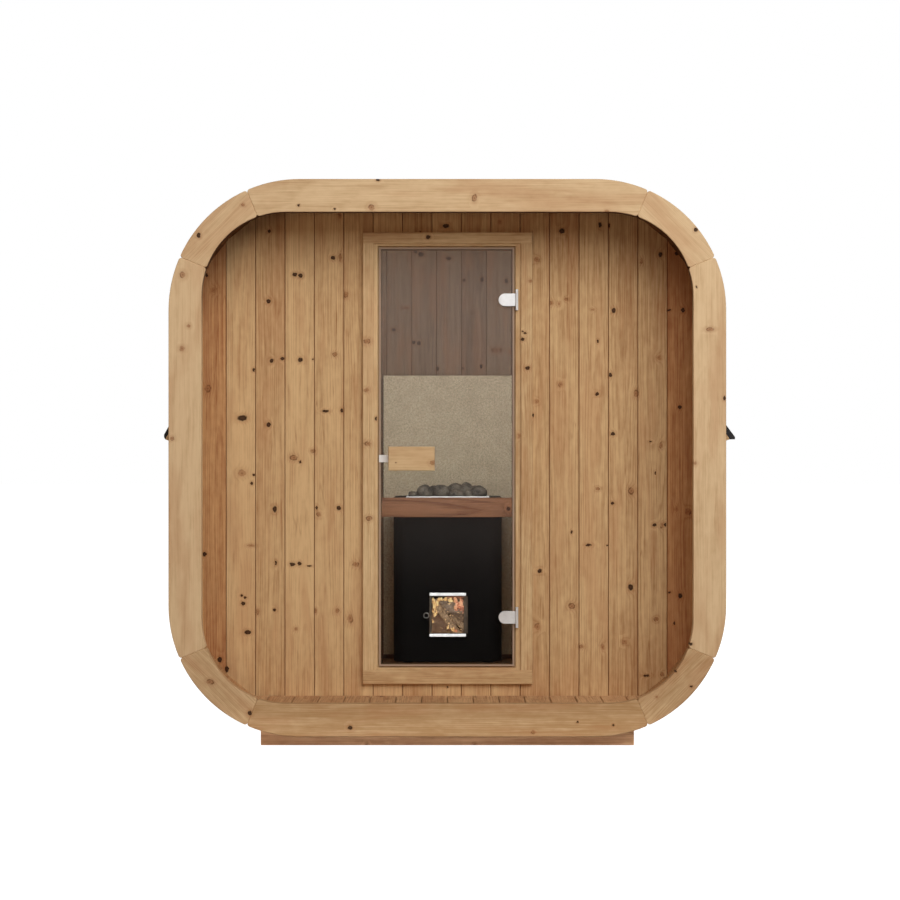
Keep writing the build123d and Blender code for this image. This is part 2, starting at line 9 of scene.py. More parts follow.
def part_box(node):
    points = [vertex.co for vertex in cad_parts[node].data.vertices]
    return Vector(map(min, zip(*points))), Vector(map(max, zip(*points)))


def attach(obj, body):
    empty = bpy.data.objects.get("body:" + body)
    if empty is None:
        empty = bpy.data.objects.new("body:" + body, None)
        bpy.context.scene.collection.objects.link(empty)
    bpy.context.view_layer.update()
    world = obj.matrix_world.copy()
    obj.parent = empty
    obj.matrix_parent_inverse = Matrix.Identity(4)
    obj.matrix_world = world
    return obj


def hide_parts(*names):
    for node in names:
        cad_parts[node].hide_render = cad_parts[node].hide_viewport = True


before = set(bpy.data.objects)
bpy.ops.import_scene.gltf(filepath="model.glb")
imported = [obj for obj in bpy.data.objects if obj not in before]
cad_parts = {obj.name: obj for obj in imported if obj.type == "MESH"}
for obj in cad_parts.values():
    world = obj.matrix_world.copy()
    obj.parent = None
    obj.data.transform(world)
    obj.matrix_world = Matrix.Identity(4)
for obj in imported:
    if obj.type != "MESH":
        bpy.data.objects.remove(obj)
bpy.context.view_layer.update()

# The photographer's stand: a long lens on a tripod, square on to the front ring and a little over half its
# height. Places are metres; a picture of 900 pixels holds the whole front.
picture_width = 900
focal_pixels = 2156
sensor_width = 36.0
eye = Vector((0.0098, -8.975, 1.109))

camera = bpy.data.objects.new("camera", bpy.data.cameras.new("camera"))
camera.data.sensor_width = sensor_width
camera.data.lens = focal_pixels / picture_width * sensor_width
camera.location = eye
camera.rotation_euler = (math.radians(90), 0, 0)
bpy.context.collection.objects.link(camera)
bpy.context.scene.camera = camera
bpy.context.scene.view_settings.view_transform = "Standard"


def photo_place(across, down, plane):
    """The x and z of a pixel of the photograph, on the upright plane at this y."""
    reach = (plane - eye.y) / focal_pixels
    return eye.x + (across - picture_width / 2) * reach, eye.z - (down - picture_width / 2) * reach


def tone(red, green, blue):
    """A colour from its eight-bit parts as a screen shows them."""
    return tuple(((part / 255 + 0.055) / 1.055) ** 2.4 for part in (red, green, blue)) + (1.0,)


def reckoned(operation, turned_round=False):
    """An operator that adds one Math node, with the other value first where it is turned round."""

    def operator(self, other=0.0):
        first, second = (other, self) if turned_round else (self, other)
        return self.maths(operation, first, second)

    return operator


class Signal:
    """A socket of a material's node tree. Arithmetic on it adds Math nodes to that tree."""

    def __init__(self, tree, socket=None):
        self.tree = tree
        self.socket = socket

    def node(self, kind, inputs=None, output=0, **settings):
        """Adds a node: its settings first, then each socket's value or link."""
        made = self.tree.nodes.new("ShaderNode" + kind)
        for name, value in settings.items():
            setattr(made, name, value)
        for name, value in (inputs or {}).items():
            if isinstance(value, Signal):
                self.tree.links.new(made.inputs[name], value.socket)
            else:
                made.inputs[name].default_value = value
        if isinstance(output, tuple):
            return [Signal(self.tree, made.outputs[name]) for name in output]
        return Signal(self.tree, made.outputs[output]) if made.outputs else None

    def parts(self):
        """A vector's x, y and z."""
        return self.node("SeparateXYZ", {0: self}, ("X", "Y", "Z"))

    def maths(self, operation, first, second=0.0):
        return self.node("Math", {0: first, 1: second}, operation=operation)

    __add__ = reckoned("ADD")
    __radd__ = reckoned("ADD", True)
    __sub__ = reckoned("SUBTRACT")
    __rsub__ = reckoned("SUBTRACT", True)
    __mul__ = reckoned("MULTIPLY")
    __rmul__ = reckoned("MULTIPLY", True)
    __truediv__ = reckoned("DIVIDE")
    __rtruediv__ = reckoned("DIVIDE", True)
    __pow__ = reckoned("POWER")
    __mod__ = reckoned("FLOORED_MODULO")
    __lt__ = reckoned("LESS_THAN")
    __gt__ = reckoned("GREATER_THAN")
    __abs__ = reckoned("ABSOLUTE")
    __round__ = reckoned("ROUND")


# The studio: white paper behind and around, a pale floor, one broad soft lamp high at the front right, a
# warm card at the front left, a low one for the beams, two weak ones for the sides and the back, and the
# daylight that reaches the room and the fire door.
floor_reach = 60.0
paper_light = 0.085
paper_warmth = (1.0, 0.59, 0.32, 1.0)
white_light = (1.0, 1.0, 1.0)

# Each lamp's place, the place it faces, its width and height, watts, tint and spread in degrees
lamps = {
    "front_lamp": ((2.0, -6.0, 4.6), (0.0, -0.7, 1.0), (6.2, 4.4), 402.0, white_light, 180),
    "fill_lamp": ((-2.6, -8.6, 1.3), (0.0, -0.7, 1.3), (2.0, 1.4), 66.0, (1.0, 0.70, 0.47), 180),
    "low_lamp": ((0.0, -1.95, 0.13), (0.0, -0.85, 0.02), (1.7, 0.08), 0.30, white_light, 20),
    "side_lamp": ((-6.0, 2.5, 3.5), (0.0, -0.7, 1.0), (3.0, 3.0), 260.0, white_light, 180),
    "back_lamp": ((4.5, 6.0, 4.0), (0.0, -0.7, 1.0), (3.0, 3.0), 260.0, white_light, 180),
    "room_lamp": ((0.0, -0.45, 1.38), (0.0, 0.80, 1.38), (0.5, 1.1), 16.0, white_light, 180),
    "step_lamp": ((0.0, -0.45, 0.35), (0.0, 0.25, 0.35), (0.34, 0.40), 0.17, white_light, 60),
}

world = bpy.data.worlds.new("paper")
world.use_nodes = True
world.node_tree.nodes.clear()
sky = Signal(world.node_tree)
seen_paper = sky.node("LightPath", output="Is Camera Ray")
paper = seen_paper.node("Mix", {0: seen_paper, 6: paper_warmth, 7: (1, 1, 1, 1)}, 2, data_type="RGBA")
paper_strength = paper_light + (1.0 - paper_light) * seen_paper
sky.node("OutputWorld", {"Surface": sky.node("Background", {"Color": paper, "Strength": paper_strength})})
bpy.context.scene.world = world

for name, (place, aim, size, power, colour, spread) in lamps.items():
    light = bpy.data.lights.new(name, "AREA")
    light.shape = "RECTANGLE"
    light.size, light.size_y = size
    light.energy = power
    light.color = colour
    light.spread = math.radians(spread)
    holder = bpy.data.objects.new(name, light)
    holder.location = place
    holder.rotation_euler = (Vector(aim) - Vector(place)).to_track_quat("-Z", "Y").to_euler()
    bpy.context.collection.objects.link(holder)


def surface(name):
    """A new material with no shader yet, and the place on the piece, as one vector and as its x, y and z."""
    material = bpy.data.materials.new(name)
    material.use_nodes = True
    material.node_tree.nodes.clear()
    place = Signal(material.node_tree).node("TexCoord", output="Object")
    return material, place, *place.parts()


def finish(material, **sockets):
    """Ends a material in one shader. Each name is a socket's, with underscores for its spaces."""
    start = Signal(material.node_tree)
    values = {name.replace("_", " "): value for name, value in sockets.items()}
    start.node("OutputMaterial", {"Surface": start.node("BsdfPrincipled", values)})
    return material


def ease(value, low, high):
    """0 below low, 1 above high and a soft rise between them."""
    return value.node("MapRange", {0: value, 1: low, 2: high}, interpolation_type="SMOOTHSTEP")


def mixed(share, first, second):
    """A colour between two others, all second where the share is 1."""
    return share.node("Mix", {0: share, 6: first, 7: second}, 2, data_type="RGBA")


def cloudy(place, frequency, detail=2.0):
    """Soft noise about 0.5, of one frequency or of one each along x, y and z."""
    frequency = (frequency,) * 3 if isinstance(frequency, float) else frequency
    spread = place.node("VectorMath", {0: place, 1: frequency}, operation="MULTIPLY")
    return place.node("TexNoise", {"Vector": spread, "Scale": 1.0, "Detail": detail}, 0)


def vector(x, y, z):
    """Three signals as one vector."""
    return x.node("CombineXYZ", {0: x, 1: y, 2: z})


def relief(height, depth, strength=1.0):
    """The bump of a height that runs from 0 to 1, that many metres deep."""
    return height.node("Bump", {"Strength": strength, "Distance": depth, "Height": height}, "Normal")


def dress(material, *nodes):
    """Gives a material to the modelled pieces named."""
    for node in nodes:
        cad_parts[node].material_slots[0].material = material


floor_mesh = bpy.data.meshes.new("floor")
floor_shape = bmesh.new()
bmesh.ops.create_grid(floor_shape, x_segments=8, y_segments=8, size=floor_reach)
floor_shape.to_mesh(floor_mesh)
floor = bpy.data.objects.new("floor", floor_mesh)
floor_paint, floor_place, *_ = surface("floor_paper")
floor_grey = mixed(cloudy(floor_place, 0.6), tone(150, 142, 134), tone(156, 148, 140))
floor_glow = floor_place.node("LightPath", output="Is Camera Ray") + 0.01
finish(
    floor_paint,
    Base_Color=floor_grey,
    Roughness=0.9,
    Emission_Color=(1, 1, 1, 1),
    Emission_Strength=floor_glow,
)
floor_mesh.materials.append(floor_paint)
bpy.context.collection.objects.link(floor)


# The three base beams: planed lengths of heat-treated softwood, sawn to the ring's round corners, that lie on
# the ground and carry the shell. Their tones are paler than the boards' above: painted light that makes up
# for the ring's shadow over them, in which they still look darker and redder than the boards above.
beam_red = tone(236, 194, 152)
beam_brown = tone(172, 124, 90)
beam_spacing = 0.845
beam_middle_z = 0.02
growth_ring = 0.0040
pith_distance = 0.055
knots_a_metre = 5.5
smallest_knot = 0.003
knot_spread = 0.007
far_off = 40


def least(first, second):
    """The smaller of two signals."""
    return first.maths("MINIMUM", first, second)


def knots_near(spots, place):
    """How far a place is from the nearest knot, in that knot's own radii.
    A knot is the x and z of its middle and its half width and half height."""
    nearest = None
    for middle_x, middle_z, half_width, half_height in spots:
        scale = (1 / half_width, 0.0, 1 / half_height)
        shift = (-middle_x / half_width, 0.0, -middle_z / half_height)
        arm = place.node("VectorMath", {0: place, 1: scale, 2: shift}, operation="MULTIPLY_ADD")
        reach = arm.node("VectorMath", {0: arm}, "Value", operation="LENGTH")
        nearest = reach if nearest is None else least(nearest, reach)
    return nearest


def scattered_knots(across, along, board):
    """The same for dead and for live knots that lie where they fall."""
    place = vector(across + board * 3.17, along + board * 7.31, across * 0.0)
    settings = {"Vector": place, "Scale": knots_a_metre, "Randomness": 1.0}
    reach, draw = place.node("TexVoronoi", settings, ("Distance", "Color"), voronoi_dimensions="2D")
    size, kind, _ = draw.parts()
    radii = reach / (knots_a_metre * (smallest_knot + knot_spread * size))
    return radii + far_off * (kind > 0.5), radii + far_off * ((kind < 0.5) + (kind > 0.85))


def uneven(place):
    """The place moved a few millimetres every way, so that an outline drawn with it is ragged."""
    shove = place.node("TexNoise", {"Vector": place, "Scale": 130.0, "Detail": 1.0}, 1)
    shove = shove.node("VectorMath", {0: shove, 1: (0.5, 0.5, 0.5)}, operation="SUBTRACT")
    return shove.node("VectorMath", {0: shove, 1: (0.008, 0.008, 0.008), 2: place}, operation="MULTIPLY_ADD")


def with_knots(timber, dead, dead_core, live, blotch):
    """Timber with its knots: live ones brown with a darker edge, dead ones nearly black, all with a halo."""
    halo = ease(dead, 2.6, 1.0) * 0.28 + ease(live, 2.8, 1.0) * 0.22
    live_edge = ease(live, 0.62, 0.92) * (1 - ease(live, 1.0, 1.3)) * ease(blotch, -0.05, 0.12)
    dead_tone = mixed(ease(dead, 0.15, 0.75), tone(66, 40, 25), tone(34, 18, 9))
    timber = mixed(halo, timber, tone(150, 92, 52))
    timber = mixed(ease(live, 1.05, 0.8) * 0.5, timber, tone(142, 90, 56))
    timber = mixed(live_edge * 0.7, timber, tone(84, 46, 26))
    timber = mixed(ease(live, 0.5, 0.1) * 0.45, timber, tone(96, 56, 34))
    return mixed(dead_core * 0.94, timber, dead_tone)


def wood(name, lay, pale, deep, dark=None, brown=None, seam=None, seed=0.0, figure=0.16, sink=0.0,
         darker=None, edge_shade=None, loose=None):
    """Planed knotty board. lay turns a place into across, depth and along the grain and the board's number.
    dark and brown are lists of knots; without them knots lie as they fall, and so they do where loose says.
    seam is the boards' width and figure how far the rings show. sink and darker are how much deeper the tone
    is, and darker may carry painted light and shade; the argument after darker says where an edge is darkened
    as painted shade. darker, that argument and loose are functions of the place, and so may the two tones be."""
    material, place, x, y, z = surface(name)
    across, depth, along, board = lay(x, y, z)
    pale, deep = [tint(x, y, z) if callable(tint) else tint for tint in (pale, deep)]
    chance = across.node("TexWhiteNoise", {"W": board + seed}, "Color", noise_dimensions="1D")
    lift, side, shift = chance.parts()
    stick = vector(across + board * 1.7 + seed, depth, along + shift * 11.0)
    slow = cloudy(stick, (4.0, 4.0, 0.8), 1.0) - 0.5
    broad = cloudy(stick, (17.0, 17.0, 1.3)) - 0.5
    bands = cloudy(stick, (70.0, 30.0, 1.8)) - 0.5
    streaks = cloudy(stick, (240.0, 90.0, 4.0), 3.0) - 0.5
    fine = cloudy(stick, (650.0, 300.0, 14.0)) - 0.5
    blotch = cloudy(stick, (55.0, 55.0, 24.0), 3.0) - 0.5
    blush = ease(cloudy(stick, (18.0, 18.0, 3.0), 3.0), 0.42, 0.68)
    resin = cloudy(stick, (36.0, 20.0, 1.1), 1.0) - 0.55
    resin = (1 - ease(abs(resin), 0.0, 0.014)) * ease(slow, -0.1, 0.12)

    ragged = uneven(place)
    if dark is None or loose:
        ragged_x, _, ragged_z = ragged.parts()
        dead, live = scattered_knots(across + (ragged_x - x), along + (ragged_z - z) + shift, board)
    if loose:
        barred = far_off * (1 - loose(x, y, z))
        dead = least(dead + barred, knots_near(dark, ragged))
        live = least(live + barred, knots_near(brown, ragged))
    elif dark:
        dead = knots_near(dark, ragged)
        live = knots_near(brown, ragged)
    push = dead.maths("EXPONENT", dead * dead * -0.3) + live.maths("EXPONENT", live * live * -0.3)

    pith_side = across + (side - 0.5) * 0.07 + slow * 0.02 + push * 0.002
    pith_depth = depth + pith_distance + lift * 0.05 + (along - 1.0) * (shift - 0.5) * 0.016 + slow * 0.035
    radius = (pith_side * pith_side + pith_depth * pith_depth) ** 0.5
    growth = (radius / growth_ring + push * 1.8 + streaks * 0.5) % 1.0
    late = ease(growth, 0.35, 0.93) * (1 - ease(growth, 0.93, 1.0))

    shade = 0.36 + sink + late * figure + streaks * 0.8 + bands * 0.3 + broad * 0.45 + blotch * 0.45
    shade = shade + fine * 0.5 + resin * 0.22 + (lift - 0.5) * 0.3
    if darker:
        shade = shade + darker(x, y, z)
    timber = mixed(ease(shade, -0.1, 1.1), pale, deep)
    timber = mixed(blush * 0.32, timber, tone(170, 118, 80))
    dead_core = ease(dead, 1.16, 0.72)
    timber = with_knots(timber, dead, dead_core, live, blotch)
    grain = fine * 0.6 + streaks * 0.5 + late * 0.2 + 0.4 - dead_core * 0.3
    if seam:
        rim = abs(across) - seam / 2
        timber = mixed(ease(rim, -0.0030, -0.0008) * 0.5, timber, tone(104, 56, 30))
    # Painted shade: the edge is darkened where a shadow falls on it.
    if edge_shade:
        timber = mixed(edge_shade(x, y, z), timber, tone(72, 40, 22))
    rough = 0.64 + fine * 0.15 - dead_core * 0.08
    bump = relief(grain, 0.0004, 0.5)
    return finish(material, Base_Color=timber, Roughness=rough, Specular_IOR_Level=0.08, Normal=bump)


def single(across_axis, depth_axis, along_axis, middle=0.0, number=0.0):
    """The lay of one board: which axes its grain runs across and along, and where its middle is."""

    def lay(x, y, z):
        axes = {"x": x, "y": y, "z": z}
        return axes[across_axis] - middle, axes[depth_axis], axes[along_axis], x * 0.0 + number

    return lay


def beam_lay(x, y, z):
    """Across is up, along is x, and each beam has its own number."""
    number = round(y / beam_spacing)
    return z - beam_middle_z, y - number * beam_spacing, x, number


dress(wood("beam_wood", beam_lay, beam_red, beam_brown, seed=3.0), "base_beams")


# The shell: tongue-and-groove staves that run from ring to ring, flat where the walls, the floor and the
# roof are flat and leaning over one by one round the corners. They are dry-fitted and hooped by the rings.
shell_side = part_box("shell_sides")[1].x
stave_width = 0.1236
corner_middle_x = 0.497
shell_middle_z = 1.080
corner_radius = 0.505
side_heart = 1.0
corner_heart = 0.45
corner_turn = math.radians(90 / 7)
stave_pale = tone(198, 158, 112)
stave_deep = tone(142, 98, 62)
shaded_pale = tone(106, 68, 40)
shaded_deep = tone(54, 32, 18)
shaded_from = 1.60
shaded_full = 1.86


def level_staves(x, y, z):
    """The floor's and the roof's staves: across is x."""
    number = round(x / stave_width)
    return x - number * stave_width, z, y, number + 30 * (z > shell_middle_z)


def side_staves(x, y, z):
    """The two side walls' staves: across is up."""
    up = z - shell_middle_z
    number = round(up / stave_width)
    return up - number * stave_width, abs(x) - side_heart, y, number + 50 * (x > 0.0)


def corner_staves(x, y, z):
    """The corners' staves: across is the way round the corner."""
    over = abs(x) - corner_middle_x
    up = abs(z - shell_middle_z) - corner_middle_x
    angle = over.maths("ARCTAN2", up, over)
    number = round(angle / corner_turn - 1.0)
    reach = (over * over + up * up) ** 0.5
    quarter = 10 * (x > 0.0) + 20 * (z > shell_middle_z)
    across = (angle - (number + 1.0) * corner_turn) * corner_radius
    return across, reach - corner_heart, y, number + quarter


dress(wood("level_staves", level_staves, stave_pale, stave_deep, seed=11.0), "shell_floor", "shell_roof")
dress(wood("side_staves", side_staves, stave_pale, stave_deep, seed=17.0), "shell_sides")
dress(wood("low_corner_staves", corner_staves, stave_pale, stave_deep, seed=23.0), "shell_bottom_corners")


def tinted(share, first, second):
    """A tint that is the first tone where a share of the place is 0, and the second where it is 1."""

    def tint(x, y, z):
        return mixed(share(x, y, z), first, second)

    return tint


def corner_shade_share(x, y, z):
    """Painted shade: the higher the staves of the corners lie, the darker their tones, standing in for the
    shadow of the ring and the roof.
    """
    return ease(z, shaded_from, shaded_full)


# Painted shade: the top corners' staves darken towards the top.
top_pale = tinted(corner_shade_share, stave_pale, shaded_pale)
top_deep = tinted(corner_shade_share, stave_deep, shaded_deep)
dress(wood("top_corner_staves", corner_staves, top_pale, top_deep, seed=23.0), "shell_top_corners")


# The end rings: eight planed boards each, mitred at the corners and screwed to the staves' ends. They are
# the palest wood on the cabin, with clear grain along each board and few knots.
ring_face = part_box("front_ring_top")[0].y
ring_pale = tone(215, 188, 149)
ring_deep = tone(165, 129, 88)
ring_middle = 0.600
ring_hollow = 0.313
ring_heart = 0.954
ring_reach = 0.974
corner_reach = 1.19
ring_figure = 0.12
# Painted shade on the front ring's inner edge starts at the first height and is full at the second.
edge_shade_from = 1.50
edge_shade_full = 1.85
slant = math.sqrt(0.5)

# Knots of the front ring, as pixels of the photograph: across, down, half width, half height
ring_dark_pixels = [
    (298.4, 205.2, 1.3, 1.2), (334.7, 209, 1.2, 1.1), (378, 180, 2.2, 1.4), (198.8, 235.2, 2, 2.6),
    (695.8, 229.7, 2, 2), (696.5, 286.9, 0.9, 1.2), (724.4, 398.3, 1.4, 2.2), (577.4, 721.9, 1.3, 1.2),
    (613.1, 725.1, 1.3, 1.2), (350, 727.6, 2.6, 2.2), (691, 644, 1.5, 1.8), (676, 671.6, 1.2, 1.2),
    (691.4, 686.5, 1.6, 1.4), (249.6, 713, 2, 2.4),
]
ring_brown_pixels = [
    (371.4, 207.7, 3, 3), (474.4, 198.1, 2.4, 3.4), (606.7, 210.9, 1.8, 1.4), (182.6, 274.8, 3, 3),
    (188.7, 325.9, 2, 1.8), (182, 348.5, 2.8, 2.6), (171.9, 438.4, 2.2, 2), (243.2, 204.8, 1.8, 1.4),
    (209.8, 682, 4, 2.4), (709.8, 329.4, 4, 1.8), (695.1, 463, 1.7, 2), (533.4, 732.1, 2, 1.6),
    (656.7, 697.1, 1.6, 1.4),
]


def knot_places(pixels, plane):
    """Knots noted in the photograph as knots on the plane of the boards that hold them."""
    reach = (plane - eye.y) / focal_pixels
    return [
        (*photo_place(across, down, plane), half_width * reach, half_height * reach)
        for across, down, half_width, half_height in pixels
    ]


def near_box(knots, node):
    """The knots that lie on a node, seen from the front, or the nearest one where none does."""
    low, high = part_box(node)
    held = [knot for knot in knots if low.x < knot[0] < high.x and low.z < knot[1] < high.z]
    return held or [min(knots, key=lambda knot: (Vector(knot[:2]) - (low.xz + high.xz) / 2).length)]


def slanting(rise, middle, number):
    """The lay of a corner board, whose grain climbs to the right if rise is 1 and falls if it is -1."""

    def lay(x, y, z):
        up = z - shell_middle_z
        return (up - x * rise) * slant - middle, y + ring_heart, (x + up * rise) * slant, x * 0.0 + number

    return lay


def painted_ring_edge_shade(x, y, z):
    """Painted shade on the ring's inner edge, which is sawn across the grain: darker than the face high up,
    where the ring's own shadow falls.
    """
    over = x.maths("MAXIMUM", abs(x) - ring_middle, 0.0)
    up = x.maths("MAXIMUM", abs(z - shell_middle_z) - ring_middle, 0.0)
    reach = (over * over + up * up) ** 0.5
    upper = ease(z, edge_shade_from, edge_shade_full) * 0.96
    return upper * ease(reach, ring_hollow + 0.014, ring_hollow + 0.004) * ease(y - ring_face, 0.002, 0.008)


ring_dark = knot_places(ring_dark_pixels, ring_face)
ring_brown = knot_places(ring_brown_pixels, ring_face)

# Each board of the front ring: the lay of its grain, and how much deeper its tone is. The shifts are painted
# light and shade: the bottom boards deeper as painted shade under the lamp above, the left ones palest as
# painted light where the lamp falls off.
front_ring = {
    "front_ring_top": (single("z", "y", "x", shell_middle_z + ring_reach, 1.0), -0.04),
    "front_ring_bottom": (single("z", "y", "x", shell_middle_z - ring_reach, 2.0), 0.36),
    "front_ring_left": (single("x", "y", "z", -ring_reach, 3.0), -0.42),
    "front_ring_right": (single("x", "y", "z", ring_reach, 4.0), -0.14),
    "front_ring_top_left": (slanting(1, corner_reach, 5.0), -0.24),
    "front_ring_top_right": (slanting(-1, corner_reach, 6.0), -0.12),
    "front_ring_bottom_left": (slanting(-1, -corner_reach, 7.0), 0.12),
    "front_ring_bottom_right": (slanting(1, -corner_reach, 8.0), 0.16),
}
front_ring_look = {"seed": 40.0, "figure": ring_figure, "edge_shade": painted_ring_edge_shade}
for node, (lay, sink) in front_ring.items():
    knots = near_box(ring_dark, node), near_box(ring_brown, node)
    dress(wood(node + "_wood", lay, ring_pale, ring_deep, *knots, sink=sink, **front_ring_look), node)


def ring_straights(x, y, z):
    """The back ring's straight boards: upright ones at the sides, level ones at the top and bottom."""
    up = z - shell_middle_z
    upright = abs(x) > abs(up)
    level = 1 - upright
    number = 2 * upright + (x > 0.0) * upright + (up > 0.0) * level
    across = (abs(x) * upright + abs(up) * level) - ring_reach
    return across, y - ring_heart, up * upright + x * level, number


def ring_corners(x, y, z):
    """The back ring's corner boards, whose grain runs square to the corner's diagonal."""
    over = abs(x)
    up = abs(z - shell_middle_z)
    number = (x > 0.0) + 2 * (z > shell_middle_z)
    return (over + up) * slant - corner_reach, y - ring_heart, (over - up) * slant, number


back_ring = {"back_ring_straights": (ring_straights, 57.0), "back_ring_corners": (ring_corners, 59.0)}
for node, (lay, seed) in back_ring.items():
    dress(wood(node + "_wood", lay, ring_pale, ring_deep, seed=seed, figure=ring_figure), node)


# The end walls: upright knotty boards, tongued and grooved with a small V at each joint, set into grooves
# in the staves. The front one is split round the door frame.
wall_board = 0.1132
front_board_offset = -0.003
back_board_offset = 0.006
wall_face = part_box("front_wall_left")[0].y
back_low, back_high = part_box("back_wall")
wall_heart = 0.65
wall_pale = tone(212, 179, 133)
wall_deep = tone(147, 105, 67)
room_pale = tone(153, 130, 106)
room_deep = tone(100, 76, 58)
end_pale = tone(212, 166, 114)
end_deep = tone(146, 90, 54)
end_board = 8
# The end boards' deeper tone and, for the right one, painted shadow; then painted light that lifts the middle
# of the wall, and the heights over which it fades out under the roof and near the floor.
end_board_depth_and_shadow = 0.28, 0.12
painted_light_lift = 0.13
roof_shade = 1.70, 1.20
lift_from_floor = 0.20, 0.55

# Knots of the walls, as pixels of the photograph: across, down, half width, half height
left_dark_pixels = [
    (269.2, 231.2, 1.5, 1.7), (268.5, 301.4, 2.2, 2.4), (294.9, 274.5, 2.6, 2), (300.6, 275.6, 2.4, 2.2),
    (333.1, 258, 2.4, 2), (271.7, 360.8, 2, 2.6), (282.4, 358.5, 2.4, 1.8), (300.2, 360, 2.6, 2.4),
    (242.3, 418.1, 5, 3), (253.7, 369.9, 1.6, 1.8), (268.5, 424.7, 2.2, 2.6), (325.5, 411.1, 3.6, 1.3),
    (341.8, 410.7, 1.6, 2.2), (300.1, 462, 1.3, 1.4), (253.8, 475.1, 1.2, 1.3), (251.8, 483.2, 1.5, 1.5),
    (274.8, 509.2, 2.2, 3.2), (316.7, 507.7, 1.1, 2), (338.8, 507.7, 2.2, 2.4), (204.5, 554.2, 2.3, 2.3),
    (275.9, 562.8, 1.2, 2.4), (292.4, 564.3, 3, 1.9), (299.5, 563.7, 2, 2), (309.5, 566, 2.5, 0.9),
    (241.5, 595.5, 1.6, 1.1), (245.2, 597.6, 1.4, 1.1), (243, 603.5, 2.3, 1.8), (247.9, 632.2, 3.6, 2.2),
    (274.4, 609.8, 1.4, 1.7), (219.7, 659.6, 2.4, 3), (226.8, 669.2, 2.2, 3.4), (313, 359, 0.9, 1.2),
    (206.5, 275.2, 1.5, 2),
]
left_brown_pixels = [
    (340.2, 258, 1.2, 4), (335, 354.2, 2.2, 2), (207.8, 388.5, 3, 3.4), (293.6, 457.7, 3.6, 2.6),
    (312.7, 450.8, 2.4, 2), (214.1, 290.2, 2.6, 3), (346, 294.4, 2.2, 3), (339.5, 215, 1.4, 4),
    (242.1, 473.2, 4, 3.4), (318.8, 514.3, 1.9, 2.4), (251.3, 545.6, 3.6, 1.4), (355.8, 564.3, 3, 2.4),
    (257.8, 611.5, 1.6, 3), (315.9, 610.7, 1.4, 2.2), (336.9, 610.7, 2, 2.4), (349.9, 618.5, 2.8, 4.4),
    (296, 628.9, 2, 2),
]
right_dark_pixels = [
    (562, 231.1, 3, 2.6), (600.1, 224.8, 1.9, 2.6), (609.2, 225.5, 1, 2.4), (613.6, 310.4, 2.2, 2.6),
    (660.3, 254.5, 2.2, 2.6), (676.7, 253.4, 2, 2), (669.1, 310.1, 1.8, 1.1), (683, 310.1, 1.9, 2.5),
    (597.8, 341.2, 1, 1.8), (610.4, 374.9, 1.7, 2.4), (596.8, 393.8, 2.1, 1.9), (679.7, 407.1, 2, 2.2),
    (533.2, 415.3, 1.1, 2), (613, 433.9, 2.3, 2), (650.4, 441.6, 1.4, 0.9), (655.2, 473, 0.8, 1.7),
    (612.4, 503.2, 1.6, 1.6), (654.4, 525, 2.2, 1.8), (665, 524.6, 1.3, 2), (588.7, 545, 3.2, 1.3),
    (607.2, 545, 1.2, 0.9), (680.2, 595.7, 2.2, 2.8), (669.6, 592.3, 1.6, 1.1), (630.7, 587.3, 2.6, 3.4),
    (646.3, 675.7, 3.2, 1.3), (674.3, 623.3, 0.9, 1.8), (531.5, 232.1, 1.2, 1.2), (539.6, 571, 2.4, 2.2),
    (571.6, 532, 1.2, 1.6),
]
right_brown_pixels = [
    (537, 259.3, 2.4, 2.8), (551.7, 303, 1.8, 2.2), (558.9, 304, 1.4, 2), (566.2, 299.4, 1.8, 1.6),
    (593.1, 309.5, 1.6, 1.2), (641.5, 260.8, 1.7, 2.6), (658.7, 357.6, 2.3, 2.5), (560.8, 384.3, 2.2, 2.6),
    (635.9, 393.6, 2.4, 3.4), (536.6, 401.6, 2, 2), (661.2, 445.4, 1.7, 3), (631.3, 490.7, 2.6, 3.4),
    (676.4, 509, 1.8, 2.8), (688.2, 511.5, 2.6, 3.6), (661.8, 525, 1.5, 3), (571.8, 606, 3.2, 2.6),
    (656, 619.2, 2, 2.2), (624.4, 641.8, 2.6, 2.6), (581.6, 646.6, 2.6, 1.8), (602.6, 647, 1.7, 2.8),
    (662.3, 674, 1.8, 2), (537.5, 626.8, 3, 3.4), (597.8, 488.6, 1.8, 1.6),
]
over_dark_pixels = [(446.0, 226.0, 3.4, 2.2), (420.0, 232.0, 1.0, 1.0)]
over_brown_pixels = [(500.0, 222.0, 1.6, 2.4)]
back_dark_pixels = [
    (415.3, 251.8, 2, 1.6), (421, 254.3, 3, 2.4), (448.6, 258.3, 3, 2), (464, 280.3, 1.6, 1.8),
    (482.3, 279.5, 1.8, 2.4), (506.3, 281.1, 2, 2.4), (393.7, 329.9, 2.2, 1.7), (413.7, 342.4, 1.8, 1.8),
    (418.9, 343.2, 2, 2.2), (437.7, 368.9, 1.5, 2.4), (462.8, 368.4, 1.2, 1.4), (481.1, 366.5, 1.4, 2.6),
]
back_brown_pixels = [(405.5, 307.6, 4.0, 1.3), (496.6, 350.2, 5.0, 2.6), (510.4, 351.8, 1.4, 2.0)]


def wall_boards(offset, number_from):
    """The lay of upright wall boards whose middle one has its own middle at x = offset."""

    def lay(x, y, z):
        number = round((x - offset) / wall_board)
        return x - offset - number * wall_board, abs(y) - wall_heart, z, number + number_from

    return lay


def outermost(x, y, z):
    """1 on the outermost board each side, which was cut near the tree's heart."""
    return abs(round((x - front_board_offset) / wall_board)) > end_board - 0.5


def end_boards_and_painted_light(x, y, z):
    """The outermost boards are darker than the rest, and the right one darker still: painted shadow of the
    ring's right side. The boards below the roof's shade and above the floor are lifted paler as painted
    light, so the wall is darker towards the top and the bottom."""
    both, right = end_board_depth_and_shadow
    midwall_light = ease(z, *roof_shade) * ease(z, *lift_from_floor) * painted_light_lift
    return outermost(x, y, z) * (both + right * (x > 0.0)) - midwall_light


